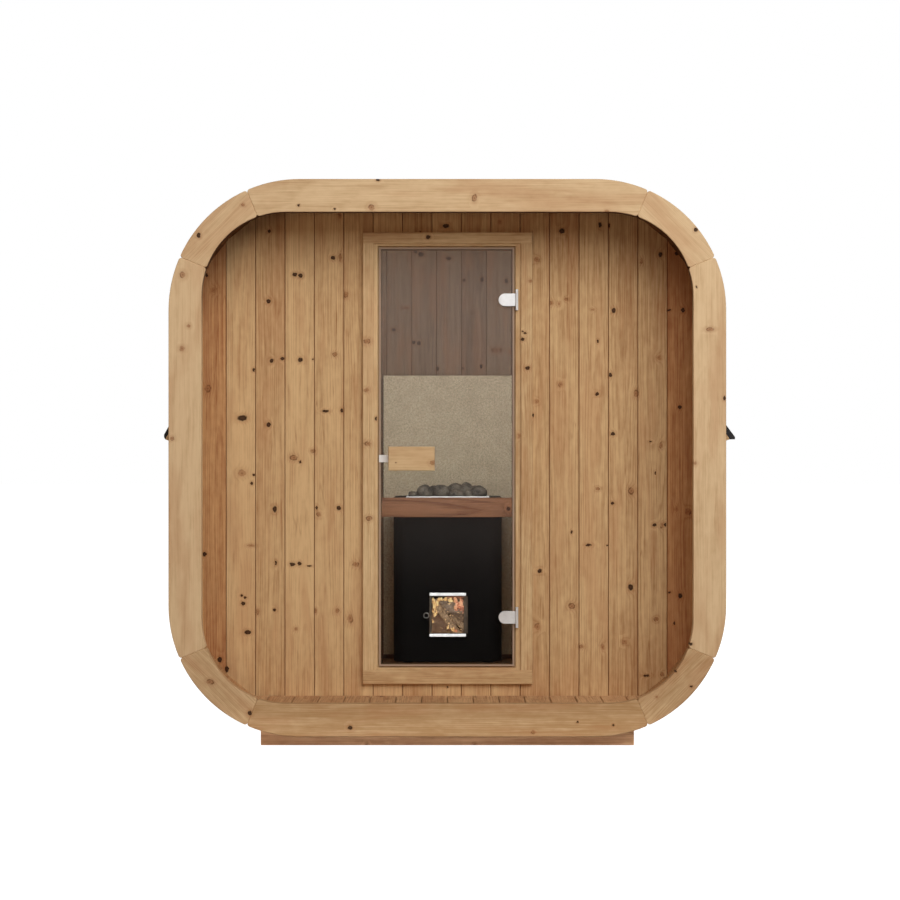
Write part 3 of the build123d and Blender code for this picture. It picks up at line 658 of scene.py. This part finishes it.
front_lay = wall_boards(front_board_offset, 0.0)
wall_knots = {
    "front_wall_left": (left_dark_pixels, left_brown_pixels),
    "front_wall_right": (right_dark_pixels, right_brown_pixels),
    "front_wall_over_door": (over_dark_pixels, over_brown_pixels),
}
front_look = {"seam": wall_board, "seed": 71.0, "darker": end_boards_and_painted_light}
front_pale = tinted(outermost, wall_pale, end_pale)
front_deep = tinted(outermost, wall_deep, end_deep)
for node, pixels in wall_knots.items():
    knots = [knot_places(kind, wall_face) for kind in pixels]
    dress(wood(node + "_wood", front_lay, front_pale, front_deep, *knots, **front_look), node)
under_look = wood("front_wall_under_door_wood", front_lay, wall_pale, wall_deep, sink=-0.1, **front_look)
dress(under_look, "front_wall_under_door")

back_lay = wall_boards(back_board_offset, 30.0)


def outdoors(x, y, z):
    """1 on the back wall's outer half, which has weathered as the front has; 0 on the room's half."""
    return y > (back_low.y + back_high.y) / 2


back_look = {
    "seam": wall_board,
    "dark": knot_places(back_dark_pixels, back_low.y),
    "brown": knot_places(back_brown_pixels, back_low.y),
    "seed": 71.0,
    "loose": outdoors,
}
back_pale = tinted(outdoors, room_pale, wall_pale)
back_deep = tinted(outdoors, room_deep, wall_deep)
dress(wood("back_wall_wood", back_lay, back_pale, back_deep, **back_look), "back_wall")


# The door frame: planed jambs, head and sill of the same wood, butted square, with a stepped bead and a
# rebate round the glass.
frame_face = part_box("door_jambs")[0].y
frame_pale = tone(220, 192, 148)
frame_deep = tone(162, 123, 82)
jamb_middle_x = 0.296
frame_heart = 0.66
head_middle_z = 1.92
sill_middle_z = 0.24
casing_dark_pixels = [
    (428.3, 237.2, 2.4, 2), (375.8, 418.5, 1.1, 2.2), (522.6, 331.5, 1, 1), (525, 333.1, 1.4, 1.2),
    (522.6, 339.3, 2, 1.8), (527.5, 368, 2.8, 1.8),
]
casing_brown_pixels = [
    (367.3, 341.3, 3.4, 2.4), (366.5, 390, 3, 2), (367.8, 443.7, 3, 2.2), (369.1, 518.4, 3, 2.2),
    (530.4, 281, 2, 1.6), (519, 436, 1.6, 2.2),
]


def jamb_lay(x, y, z):
    """The two jambs: across is x, one each side of the middle."""
    return abs(x) - jamb_middle_x, y + frame_heart, z, 1.0 * (x > 0.0)


casing_knots = [knot_places(pixels, frame_face) for pixels in (casing_dark_pixels, casing_brown_pixels)]
head_lay = single("z", "y", "x", head_middle_z, 4.0)
sill_lay = single("z", "y", "x", sill_middle_z, 5.0)
dress(wood("jamb_wood", jamb_lay, frame_pale, frame_deep, *casing_knots, seed=83.0), "door_jambs")
dress(wood("head_wood", head_lay, frame_pale, frame_deep, *casing_knots, seed=83.0), "door_head")
dress(wood("sill_wood", sill_lay, frame_pale, frame_deep, seed=83.0, sink=0.1), "door_sill")


# The two floors: eased boards that run in depth with a finger's gap between them, nailed to joists that
# lie on the shell's floor.
deck_pitch = 0.0977
deck_pale = tone(216, 176, 131)
deck_deep = tone(142, 100, 68)
deck_middle_z = 0.15
joist_width = 0.05
joist_middle_z = 0.12


def deck_lay(x, y, z):
    """Across is x and along is y, with the porch's boards numbered apart from the room's."""
    number = round(x / deck_pitch - 0.5)
    return x - (number + 0.5) * deck_pitch, z - deck_middle_z, y, number + 40 * (y > -wall_heart)


def joist_lay(x, y, z):
    """The joists lie across the boards: along is x."""
    number = round(y / joist_width)
    return y - number * joist_width, z - joist_middle_z, x, number


dress(wood("deck_wood", deck_lay, deck_pale, deck_deep, seed=91.0), "porch_floor", "room_floor")
dress(wood("joist_wood", joist_lay, deck_pale, deck_deep, seed=97.0), "floor_joists")


# The door: one tempered leaf of grey-bronze glass, ground at the edges, with a wooden pull block on each
# face and a steel catch plate between them.
glass_bronze = tone(8, 8, 8)
glass_sheen_tone = tone(112, 106, 102)
ground_tone = tone(172, 148, 128)
ground_width = 0.0060, 0.0072
sheen_rise = 0.50, 1.95
leaf_low, leaf_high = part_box("door_glass")

glass_look, glass_place, glass_x, _, glass_z = surface("leaf_glass")
leaf_middle = (leaf_low + leaf_high) / 2
edge_x = (leaf_high.x - leaf_low.x) / 2 - abs(glass_x - leaf_middle.x)
edge_z = (leaf_high.z - leaf_low.z) / 2 - abs(glass_z - leaf_middle.z)
ground_edge = 1 - ease(least(edge_x, edge_z), *ground_width)
film = cloudy(glass_place, (3.0, 3.0, 1.2), 4.0)
# Painted sheen: the glass turns from bronze at the bottom to a pale grey towards the top, standing in for
# light on the glass.
painted_sheen = ease(glass_z + film * 0.2, *sheen_rise)
finish(
    glass_look,
    Base_Color=mixed(ground_edge, mixed(painted_sheen, glass_bronze, glass_sheen_tone), ground_tone),
    Roughness=0.04 + film * 0.05 + ground_edge * 0.3,
    IOR=1.5,
    Specular_IOR_Level=0.06,
    Alpha=0.36 + film * 0.05 + ground_edge * 0.5,
)
glass_look.use_transparent_shadow = True
dress(glass_look, "door_glass")

handle_pale = tone(213, 185, 143)
handle_deep = tone(174, 136, 94)
handle_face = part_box("door_handle")[0].y
handle_middle_z = 1.076
handle_dark = knot_places([(396.0, 462.5, 0.6, 0.6)], handle_face)
handle_brown = knot_places([(432.7, 462.8, 2.6, 2.0)], handle_face)
handle_lay = single("z", "y", "x", handle_middle_z, 2.0)
handle_look = wood("handle_wood", handle_lay, handle_pale, handle_deep, handle_dark, handle_brown, seed=101.0)
dress(handle_look, "door_handle")


# The door's fittings: satin stainless plates, brushed along their length, clamped through the glass and
# screwed to the right jamb.
def brushed(name, base, brush, metallic=0.7, roughness=0.36):
    """Satin steel, with brush marks as fine as the frequencies given along x, y and z."""
    material, place, *_ = surface(name)
    marks = cloudy(place, brush, 3.0)
    smudge = cloudy(place, 30.0)
    colour = mixed(smudge * 0.5 + marks * 0.3, base, tone(170, 172, 172))
    rough = roughness + (marks - 0.5) * 0.18 + (smudge - 0.5) * 0.1
    bump = relief(marks, 0.00008, 0.4)
    return finish(material, Base_Color=colour, Metallic=metallic, Roughness=rough, Normal=bump)


fitting_look = brushed("fitting_steel", tone(248, 252, 255), (90.0, 900.0, 900.0), metallic=0.4)
dress(fitting_look, "door_fittings", "door_hinge_plates")


# The roof: courses of black mineral shingles on felt over the upper half of the shell, each tab lapping the
# one below, from a starter strip on each eave batten up to the middle of the roof.
eave_low, eave_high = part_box("eave_battens")
shingle_low, shingle_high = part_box("roof_shingles")
batten_middle_x = 1.038
batten_middle_z = 1.168


def batten_lay(x, y, z):
    """A batten runs the length of the shell under each eave."""
    return z - batten_middle_z, abs(x) - batten_middle_x, y, 1.0 * (x > 0.0)


dress(wood("batten_wood", batten_lay, ring_pale, ring_deep, seed=107.0), "eave_battens")

shingle_look, grit_place, *_ = surface("mineral_shingle")
grit = grit_place.node("TexVoronoi", {"Vector": grit_place, "Scale": 420.0}, "Distance")
grit_kind = grit_place.node("TexVoronoi", {"Vector": grit_place, "Scale": 420.0}, "Color")
faded = cloudy(grit_place, 4.0, 3.0)
black_mix = mixed(ease(faded, 0.3, 0.75), tone(26, 26, 28), tone(44, 44, 46))
black_mix = mixed(ease(grit_kind, 0.72, 0.95) * 0.6, black_mix, tone(84, 84, 88))
finish(
    shingle_look,
    Base_Color=black_mix,
    Roughness=0.86 + (faded - 0.5) * 0.12,
    Normal=relief(1 - grit, 0.0012, 0.6),
)

roof_skin = 0.0015
tab_thickness = 0.0022
felt_thickness = 0.0008
felt_lift = 0.0003
tab_lap = 0.06
tab_slot = 0.008
tabs_a_course = 6
course_reach = 0.142
ridge_width = 0.24
skin_radius = shell_side - corner_middle_x + roof_skin
eave_top = eave_high.z
side_height = shell_middle_z + corner_middle_x - eave_top
corner_length = skin_radius * math.pi / 2
half_roof = side_height + corner_length + corner_middle_x
courses = math.ceil(half_roof / course_reach)
roof_length = shingle_high.y - shingle_low.y
lip_thickness = 0.009
lip_set_in = 0.006
flare_rise = 0.018
batten_foot = 0.012


def on_roof(climb, lift, side):
    """The x and z at a length up the roof from the eave, lifted off its skin."""
    if climb < side_height:
        return side * (shell_side + roof_skin + lift), eave_top + climb
    turn = min((climb - side_height) / skin_radius, math.pi / 2)
    over = max(climb - side_height - corner_length, 0.0)
    bend = min(1.0, 2 * turn / corner_turn, 2 * (math.pi / 2 - turn) / corner_turn)
    reach = skin_radius * (1 + bend * (1 / math.cos(corner_turn / 2) - 1)) + lift
    x = corner_middle_x + reach * math.cos(turn) - over
    return side * x, shell_middle_z + corner_middle_x + reach * math.sin(turn)


def turn_out(faces):
    """Turns faces of the covering to look away from the room."""
    for face in faces:
        face.normal_update()
        if face.normal.dot(face.calc_center_median() - Vector((0, 0, shell_middle_z))) < 0:
            face.normal_flip()


def place_piece(name, shape, materials, body, replaced=(), smooth=False):
    """Makes an object of a bmesh whose places are already its own, and has it ride with a body."""
    mesh = bpy.data.meshes.new(name)
    shape.to_mesh(mesh)
    for material in materials:
        mesh.materials.append(material)
    for face in mesh.polygons:
        face.use_smooth = smooth
    piece = bpy.data.objects.new(name, mesh)
    bpy.context.collection.objects.link(piece)
    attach(piece, body)
    if replaced:
        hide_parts(*replaced)


roof = bmesh.new()
tab_width = roof_length / tabs_a_course
for side in (-1, 1):
    for course in range(courses):
        start = course * course_reach
        end = min(start + course_reach + tab_lap, half_roof)
        for tab in range(-1, tabs_a_course):
            front = shingle_low.y + (tab + 0.5 * (course % 2)) * tab_width + tab_slot / 2
            back = min(front + tab_width - tab_slot, shingle_high.y)
            front = max(front, shingle_low.y)
            if back - front < tab_slot:
                continue
            made = bmesh.ops.create_grid(roof, x_segments=8, y_segments=1, size=0.5)["verts"]
            for vert in made:
                climb = start + (vert.co.x + 0.5) * (end - start)
                lift = tab_thickness * (1 - (climb - start) / (course_reach + tab_lap))
                y = front + (vert.co.y + 0.5) * (back - front)
                x, z = on_roof(climb, lift, side)
                vert.co = (x, y, z)
ridge_cap = bmesh.ops.create_grid(roof, x_segments=4, y_segments=12, size=0.5)["verts"]
for vert in ridge_cap:
    y = shingle_low.y + (vert.co.y + 0.5) * roof_length
    vert.co = (vert.co.x * ridge_width, y, shingle_high.z - tab_thickness)
turn_out(roof.faces)
bmesh.ops.solidify(roof, geom=roof.faces[:], thickness=tab_thickness)
for side in (-1, 1):
    felt = bmesh.ops.create_grid(roof, x_segments=72, y_segments=1, size=0.5)["verts"]
    for vert in felt:
        x, z = on_roof((vert.co.x + 0.5) * half_roof, felt_lift, side)
        vert.co = (x, shingle_low.y + (vert.co.y + 0.5) * roof_length, z)
    felt_faces = {face for vert in felt for face in vert.link_faces}
    turn_out(felt_faces)
    bmesh.ops.solidify(roof, geom=list(felt_faces), thickness=felt_thickness)


def flare(side, tip, lip):
    """The covering's thick lower edge, bent out over the batten to a drip edge."""
    profile = [
        (shell_side, eave_top),
        (eave_high.x, eave_low.z + batten_foot),
        (shell_side + tip, lip),
        (shell_side + tip, lip + lip_thickness),
        (shell_side + lip_set_in, eave_top + flare_rise),
        (shell_side, eave_top + flare_rise),
    ]
    corners = [roof.verts.new((side * x, shingle_low.y, z)) for x, z in profile]
    end = bmesh.ops.contextual_create(roof, geom=corners)["faces"]
    grown = bmesh.ops.extrude_face_region(roof, geom=end, use_keep_orig=True)["geom"]
    moved = [part for part in grown if isinstance(part, bmesh.types.BMVert)]
    bmesh.ops.translate(roof, verts=moved, vec=(0, roof_length, 0))


batten_fall = eave_high.z - eave_low.z - batten_foot
eave_slope = (eave_high.x - shell_side) / batten_fall
for side, tip in ((-1, -shingle_low.x - shell_side), (1, shingle_high.x - shell_side)):
    flare(side, tip, eave_top - min((tip - lip_thickness) / eave_slope, batten_fall))
bmesh.ops.recalc_face_normals(roof, faces=roof.faces)
place_piece("shingle_courses", roof, [shingle_look], "cabin", ["roof_shingles"])


# The heater: a folded and welded steel box on short legs, painted with matt heat-proof black, with a bright
# rim folded round its stone well.
heater_look, paint_place, *_ = surface("heater_paint")
paint_grain = cloudy(paint_place, 900.0)
paint_cloud = cloudy(paint_place, 9.0, 3.0)
finish(
    heater_look,
    Base_Color=mixed(ease(paint_cloud, 0.3, 0.75), tone(8, 8, 8), tone(18, 17, 17)),
    Roughness=0.7 + (paint_cloud - 0.5) * 0.2,
    Specular_IOR_Level=0.1,
    Normal=relief(paint_grain, 0.0002, 0.4),
)
dress(heater_look, "heater_body", "fire_door_hinges")
rim_look = brushed("rim_steel", tone(226, 224, 218), (60.0, 700.0, 700.0))
dress(rim_look, "heater_rim")


# The fire door: a small cast frame, heat-browned, with a bright steel bar along its top and its bottom, and
# a turned steel knob with a dished black middle.
door_low, door_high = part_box("fire_door")
pane_low, pane_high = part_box("fire_door_glass")
knob_low, knob_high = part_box("fire_door_knob")
bar_height = 0.0125
bar_thickness = 0.003
bar_ease = 0.001
bar_overhang = 0.009

cast_look, cast_place, *_ = surface("browned_iron")
cast_cloud = cloudy(cast_place, 40.0, 3.0)
cast_grain = cloudy(cast_place, 600.0)
finish(
    cast_look,
    Base_Color=mixed(ease(cast_cloud, 0.3, 0.7), tone(104, 94, 80), tone(130, 116, 98)),
    Roughness=0.6 + (cast_cloud - 0.5) * 0.2,
    Metallic=0.2,
    Normal=relief(cast_grain, 0.0003, 0.5),
)
dress(cast_look, "fire_door")

bars = bmesh.new()
bar_width = 2 * (bar_overhang - pane_low.x)
for bar_z in (door_high.z - bar_height / 2, door_low.z + bar_height / 2):
    made = bmesh.ops.create_cube(bars, size=1.0)["verts"]
    bmesh.ops.scale(bars, verts=made, vec=(bar_width, bar_thickness, bar_height))
    bmesh.ops.translate(bars, verts=made, vec=(0.0, door_low.y - bar_thickness / 2, bar_z))
bmesh.ops.bevel(
    bars, geom=bars.edges[:], offset=bar_ease, segments=2, profile=0.5, affect="EDGES", material=-1
)
bar_look = brushed("bright_bar", tone(252, 252, 250), (60.0, 700.0, 700.0), metallic=0.8, roughness=0.16)
place_piece("fire_door_bars", bars, [bar_look], "fire_door")

knob_middle = (knob_low + knob_high) / 2
knob_radius = (knob_high.x - knob_low.x) / 2
knob_profile = [
    (0.000, 0.006), (0.40, 0.006), (0.62, 0.004), (0.70, 0.001), (0.80, 0.000), (0.92, 0.002), (1.00, 0.006),
    (1.00, 0.014), (0.86, 0.020), (0.45, 0.024), (0.38, 0.030), (0.38, 0.042), (0.000, 0.042),
]
knob_dish = 0.66 * knob_radius
knob_dish_depth = 0.01
knob = bmesh.new()
turned = [knob.verts.new((share * knob_radius, knob_low.y + depth, 0.0)) for share, depth in knob_profile]
for first, second in zip(turned, turned[1:]):
    knob.edges.new((first, second))
bmesh.ops.spin(
    knob, geom=knob.verts[:] + knob.edges[:], cent=(0, 0, 0), axis=(0, 1, 0), angle=math.tau, steps=32,
    use_merge=True,
)
bmesh.ops.remove_doubles(knob, verts=knob.verts[:], dist=0.00001)
bmesh.ops.recalc_face_normals(knob, faces=knob.faces)
bmesh.ops.translate(knob, verts=knob.verts, vec=(knob_middle.x, 0.0, knob_middle.z))
for face in knob.faces:
    middle = face.calc_center_median()
    inside = math.hypot(middle.x - knob_middle.x, middle.z - knob_middle.z) < knob_dish
    face.material_index = 1 if inside and middle.y < knob_low.y + knob_dish_depth else 0
place_piece("turned_knob", knob, [rim_look, heater_look], "fire_door", ["fire_door_knob"], True)


# The stones: rounded dark rock, from fist size to twice that, heaped loose in the heater's well so that
# the upper ones stand over the rim.
stone_low, stone_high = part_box("heater_stones")
stone_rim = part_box("heater_rim")[1].z
stone_layers = 6
stones_across = 5
stone_size = 0.037
crown_stone_depth = 0.031
well_clearance = 0.01
stone_draw = random.Random(5)

stone_look, rock_place, *_ = surface("sauna_stone")
rock_cloud = cloudy(rock_place, 26.0, 4.0)
rock_speck = cloudy(rock_place, 420.0, 3.0)
rock_tone = mixed(ease(rock_cloud, 0.3, 0.72), tone(54, 52, 47), tone(130, 122, 106))
rock_tone = mixed(ease(rock_speck, 0.6, 0.75) * 0.5, rock_tone, tone(150, 144, 134))
finish(
    stone_look,
    Base_Color=rock_tone,
    Roughness=0.8 + (rock_cloud - 0.5) * 0.2,
    Normal=relief(rock_speck * 0.4 + rock_cloud, 0.003, 0.6),
)

# The stones that stand over the rim, as pixels of the photograph: across, down, half width, half height;
# and how far back each lies
crown_stones = [
    (412.6, 494.6, 5.4, 3.4, 0.400), (425.2, 491.4, 8.4, 7.3, 0.385), (441.2, 491.6, 8.6, 7.2, 0.372),
    (455.4, 488.6, 7.8, 5.6, 0.470), (457.2, 494, 7.8, 5.2, 0.375), (466.3, 489.4, 6.4, 7, 0.435),
    (468.8, 494.4, 4.6, 4.8, 0.378), (479.2, 492.2, 8.6, 7.2, 0.385), (433, 490.8, 6, 5, 0.500),
    (449, 492, 7, 6, 0.520), (474, 491, 6.5, 5, 0.500), (420, 494, 7, 4, 0.500),
]
heap = bmesh.new()


def stone(middle, radii):
    """One stone: a ball pushed in and out all over, drawn out to its three radii and turned a little."""
    made = bmesh.ops.create_icosphere(heap, subdivisions=3, radius=1.0)["verts"]
    seed = stone_draw.uniform(0, 50)
    for vert in made:
        lump = math.sin(vert.co.x * 2.6 + seed) + math.sin(vert.co.y * 2.1 + seed * 2)
        lump += math.sin(vert.co.z * 3.0 + seed)
        vert.co *= 1 + 0.055 * lump + 0.02 * math.sin(vert.co.x * 7 + seed)
    tilt = Matrix.Rotation(stone_draw.uniform(-0.25, 0.25), 4, "Y")
    bmesh.ops.scale(heap, verts=made, vec=radii)
    bmesh.ops.transform(heap, verts=made, matrix=Matrix.Translation(middle) @ tilt)


for across, down, half_width, half_height, depth in crown_stones:
    reach = (depth - eye.y) / focal_pixels
    x, z = photo_place(across, down, depth)
    stone(Vector((x, depth, z)), Vector((half_width * reach, crown_stone_depth, half_height * reach)))
well_middle = (stone_low + stone_high) / 2
well_size = stone_high - stone_low
for layer in range(stone_layers):
    level = layer / (stone_layers - 1)
    shift = 0.3 * (layer % 2) + 0.35
    height = stone_low.z + stone_size + (stone_rim - well_clearance - stone_low.z - 2 * stone_size) * level
    for column in range(stones_across):
        for row in range(stones_across):
            middle = Vector((
                well_middle.x + ((column + shift) / stones_across - 0.5) * (well_size.x - 2 * well_clearance),
                well_middle.y + ((row + shift) / stones_across - 0.5) * (well_size.y - 2 * well_clearance),
                height + stone_draw.uniform(-0.008, 0.008),
            ))
            radii = Vector([stone_size * stone_draw.uniform(0.8, 1.1) for axis in range(3)])
            stone(middle, radii)
for vert in heap.verts:
    vert.co.x = min(max(vert.co.x, stone_low.x), stone_high.x)
    vert.co.y = min(max(vert.co.y, stone_low.y), stone_high.y)
    vert.co.z = max(vert.co.z, stone_low.z)
place_piece("stone_heap", heap, [stone_look], "cabin", ["heater_stones"], True)


# The fire door's window: a pane of clear ceramic glass, clouded brown by the smoke, that lies in the cast
# frame and shows the wood fire.
fire_glass_look, fire_place, *_ = surface("fire_glass")
soot = cloudy(fire_place, 30.0, 3.0)
finish(
    fire_glass_look,
    Base_Color=mixed(soot, tone(70, 46, 28), tone(120, 84, 50)),
    Roughness=0.1 + soot * 0.1,
    IOR=1.5,
    Specular_IOR_Level=0.1,
    Alpha=0.1 + soot * 0.12,
)
dress(fire_glass_look, "fire_door_glass")

# The wood fire: split logs stacked across a bed of embers just behind the pane, half burnt, with low flames
# round them. What glows is as bright as it is behind two panes of tinted glass.
fire_plane = pane_high.y + 0.045
fire_glow = 2.7
fire_draw = random.Random(12)
bed_width = 0.38
bed_depth = 0.24
bed_behind = 0.14
bed_below = 0.012
bed_heave = 0.006
bed_thickness = 0.01


def log(name, start, end, radius, depth, pale, dark, seed):
    """A lumpy log between two pixels of the photograph, with its own glowing and charred bark."""
    depth += fire_plane
    start_x, start_z = photo_place(*start, depth)
    end_x, end_z = photo_place(*end, depth)
    axis = Vector((end_x - start_x, 0.0, end_z - start_z))
    shape = bmesh.new()
    made = bmesh.ops.create_uvsphere(shape, u_segments=24, v_segments=20, radius=1.0)["verts"]
    for vert in made:
        turn = math.atan2(vert.co.y, vert.co.x)
        along = vert.co.z * axis.length / 2
        lump = math.sin(turn * 3 + seed) * 0.08 + math.sin(turn * 7 + along * 60) * 0.04
        lump += math.sin(along * 75 + seed) * 0.06
        reach = radius * min(1.0, 2.6 * math.hypot(vert.co.x, vert.co.y)) * (1 + lump)
        vert.co = (reach * math.cos(turn), reach * math.sin(turn), along)
    lean = axis.to_track_quat("Z", "Y").to_matrix().to_4x4()
    middle = Vector(((start_x + end_x) / 2, depth, (start_z + end_z) / 2))
    bmesh.ops.transform(shape, verts=made, matrix=Matrix.Translation(middle) @ lean)
    bark, place, x, y, z = surface(name)
    lead = axis.normalized()
    along = (x - middle.x) * lead.x + (z - middle.z) * lead.z
    across = (x - middle.x) * lead.z - (z - middle.z) * lead.x
    grain = cloudy(vector(across + seed, y, along), (170.0, 170.0, 60.0), 4.0)
    lumps = cloudy(place, 75.0, 3.0)
    cracks = 1 - ease(abs(cloudy(place, 62.0, 2.0) - 0.5), 0.0, 0.035)
    # Painted shade: the log's glow darkens towards its sides, standing in for the shading of its round form.
    shade = ease(grain * 0.8 + lumps * 0.7 + ease(abs(across) / radius, 0.6, 1.05) * 0.35, 0.52, 0.98)
    colour = mixed(cracks * 0.7, mixed(shade, pale, dark), tone(52, 34, 22))
    colour = mixed(ease(lumps, 0.56, 0.66) * ease(grain, 0.5, 0.6), colour, tone(250, 206, 150))
    finish(
        bark,
        Base_Color=mixed(shade, tone(60, 48, 38), tone(24, 18, 14)),
        Roughness=0.9 - grain * 0.1,
        Emission_Color=colour,
        Emission_Strength=fire_glow,
        Normal=relief(grain, 0.003, 0.6),
    )
    place_piece(name, shape, [bark], "cabin", (), True)


log_tan = tone(186, 156, 122)
log_grey = tone(160, 140, 120)
log_brown = tone(128, 102, 80)
log_red = tone(104, 62, 46)
char_tone = tone(74, 54, 38)
log("front_log", (433.0, 600.0), (461.0, 638.0), 0.0165, 0.0, log_tan, tone(112, 84, 60), 1.0)
log("low_log", (449.0, 615.5), (470.0, 631.5), 0.013, 0.01, log_tan, tone(104, 80, 60), 2.0)
log("split_log", (434.0, 606.0), (464.0, 607.0), 0.032, 0.05, log_grey, tone(98, 78, 60), 3.0)
log("side_log", (452.0, 619.0), (476.0, 613.0), 0.024, 0.055, log_brown, tone(80, 66, 54), 4.0)
log("left_log", (418.0, 620.0), (448.0, 627.0), 0.042, 0.05, log_brown, tone(92, 64, 48), 5.0)
log("back_log", (446.0, 599.0), (484.0, 606.0), 0.036, 0.10, tone(160, 104, 76), log_red, 7.0)
log("under_log", (438.0, 640.0), (474.0, 634.0), 0.036, 0.06, log_brown, char_tone, 6.0)

flame_look, flame_place, flame_x, *_ = surface("flame")
lick = cloudy(flame_place, (110.0, 110.0, 60.0), 3.0)
rosy_x, _ = photo_place(453.0, 611.0, fire_plane)
rosy = ease(flame_x + (lick - 0.5) * 0.03, rosy_x, rosy_x + 0.012)
cream = mixed(ease(lick, 0.40, 0.64), tone(232, 160, 92), tone(255, 226, 160))
flame_tone = mixed(rosy, cream, mixed(ease(lick, 0.42, 0.62), tone(196, 92, 62), tone(250, 186, 142)))
finish(
    flame_look,
    Base_Color=(0.0, 0.0, 0.0, 1.0),
    Roughness=0.9 + lick * 0.1,
    Emission_Color=flame_tone,
    Emission_Strength=fire_glow,
    Alpha=0.1 + ease(lick, 0.40, 0.52) * 0.9,
)

# Flames, as pixels of the photograph: across, foot, tip and half width
flame_pixels = [
    (433.6, 613, 602, 1.3), (435.2, 610.5, 598, 1.4), (433.2, 603, 597, 1.2),
    (437.2, 606, 597.5, 1.3), (436.2, 615.5, 608, 1), (439, 602, 597, 1.2),
    (441.4, 600.6, 596.8, 1.5), (434.2, 617, 611, 0.8), (445, 600.6, 596.8, 2.4),
    (450.2, 602, 597, 2.2), (454.6, 602.5, 596.6, 1.8), (457.4, 608.5, 597.5, 1.9),
    (459.6, 611, 599.5, 2.2), (461.6, 606.5, 597, 1.8), (462.8, 613, 604, 1),
    (456, 610.5, 604, 2), (453.8, 631.5, 626.5, 2), (456.4, 632, 628.5, 1.6),
    (433.4, 622.5, 618.5, 0.9), (447.5, 629, 624.5, 1.2),
]
flame_lead = 0.022
flame_depth = 0.004
flame_foot = 1.35
flame_taper = 0.8
flame_waver = 0.4
flames = bmesh.new()
reach = (fire_plane - eye.y) / focal_pixels
for across, foot, tip, half_width in flame_pixels:
    made = bmesh.ops.create_uvsphere(flames, u_segments=16, v_segments=14, radius=1.0)["verts"]
    foot_x, foot_z = photo_place(across, foot, fire_plane)
    height = (foot - tip) * reach
    phase = fire_draw.uniform(0, math.tau)
    sway = fire_draw.uniform(-1.2, 1.2) * reach
    for vert in made:
        share = (vert.co.z + 1) / 2
        swell = half_width * reach * (flame_foot - flame_taper * share)
        waver = flame_waver * reach * math.sin(share * 7 + phase)
        x = foot_x + vert.co.x * swell + sway * share + waver
        vert.co = (x, fire_plane - flame_lead + vert.co.y * flame_depth, foot_z + height * share)
bmesh.ops.recalc_face_normals(flames, faces=flames.faces)
place_piece("flames", flames, [flame_look], "cabin", (), True)

bed = bmesh.new()
bmesh.ops.create_grid(bed, x_segments=50, y_segments=50, size=0.5)
bed_middle = Vector(((pane_low.x + pane_high.x) / 2, fire_plane + bed_behind, pane_low.z - bed_below))
for vert in bed.verts:
    heave = math.sin(vert.co.x * 61) * math.sin(vert.co.y * 53) + math.sin(vert.co.x * 23 + vert.co.y * 31)
    fall = max(abs(vert.co.x), abs(vert.co.y)) ** 4 * 0.5
    vert.co = bed_middle + Vector((vert.co.x * bed_width, vert.co.y * bed_depth, bed_heave * heave - fall))
bmesh.ops.solidify(bed, geom=bed.faces[:], thickness=bed_thickness)
bmesh.ops.recalc_face_normals(bed, faces=bed.faces)
ember_look, ember_place, *_ = surface("ember_bed")
ember_cloud = cloudy(ember_place, 70.0, 4.0)
hot = ease(ember_cloud, 0.48, 0.66)
finish(
    ember_look,
    Base_Color=mixed(hot, tone(70, 60, 54), tone(160, 120, 90)),
    Roughness=0.95 - ember_cloud * 0.1,
    Emission_Color=mixed(hot, tone(90, 64, 48), tone(240, 130, 70)),
    Emission_Strength=fire_glow,
    Normal=relief(ember_cloud, 0.004, 0.6),
)
place_piece("ember_bed", bed, [ember_look], "cabin", (), True)


# The guard rail: three planed planks of reddish heat-treated wood, one before the heater and two that run
# back from it to the wall.
rail_red = tone(155, 110, 80)
rail_brown = tone(102, 64, 44)
rail_middle_z = 0.865
rail_side_x = 0.3


def rail_lay(x, y, z):
    """The side planks run in depth; the front one is a node of its own."""
    return z - rail_middle_z, abs(x) - rail_side_x, y, 1.0 * (x > 0.0)


front_rail_lay = single("z", "y", "x", rail_middle_z, 9.0)
front_rail_look = wood("rail_front_wood", front_rail_lay, rail_red, rail_brown, seed=113.0, figure=0.5)
dress(front_rail_look, "guard_rail_front")
dress(wood("rail_side_wood", rail_lay, rail_red, rail_brown, seed=113.0), "guard_rail_sides")


# The heat shield: a fine beige cement board behind the heater, screwed to the back wall on spacers so that
# air passes behind it.
shield_look, board_place, *_ = surface("shield_board")
board_fleck = cloudy(board_place, 130.0, 4.0)
board_cloud = cloudy(board_place, 14.0, 3.0)
board_tone = mixed(ease(board_fleck, 0.3, 0.7), tone(203, 188, 156), tone(241, 228, 196))
board_tone = mixed(ease(board_cloud, 0.35, 0.8) * 0.3, board_tone, tone(176, 164, 136))
board_rough = 0.9 - board_fleck * 0.06
finish(shield_look, Base_Color=board_tone, Roughness=board_rough, Normal=relief(board_fleck, 0.0004, 0.4))
dress(shield_look, "heat_shield")
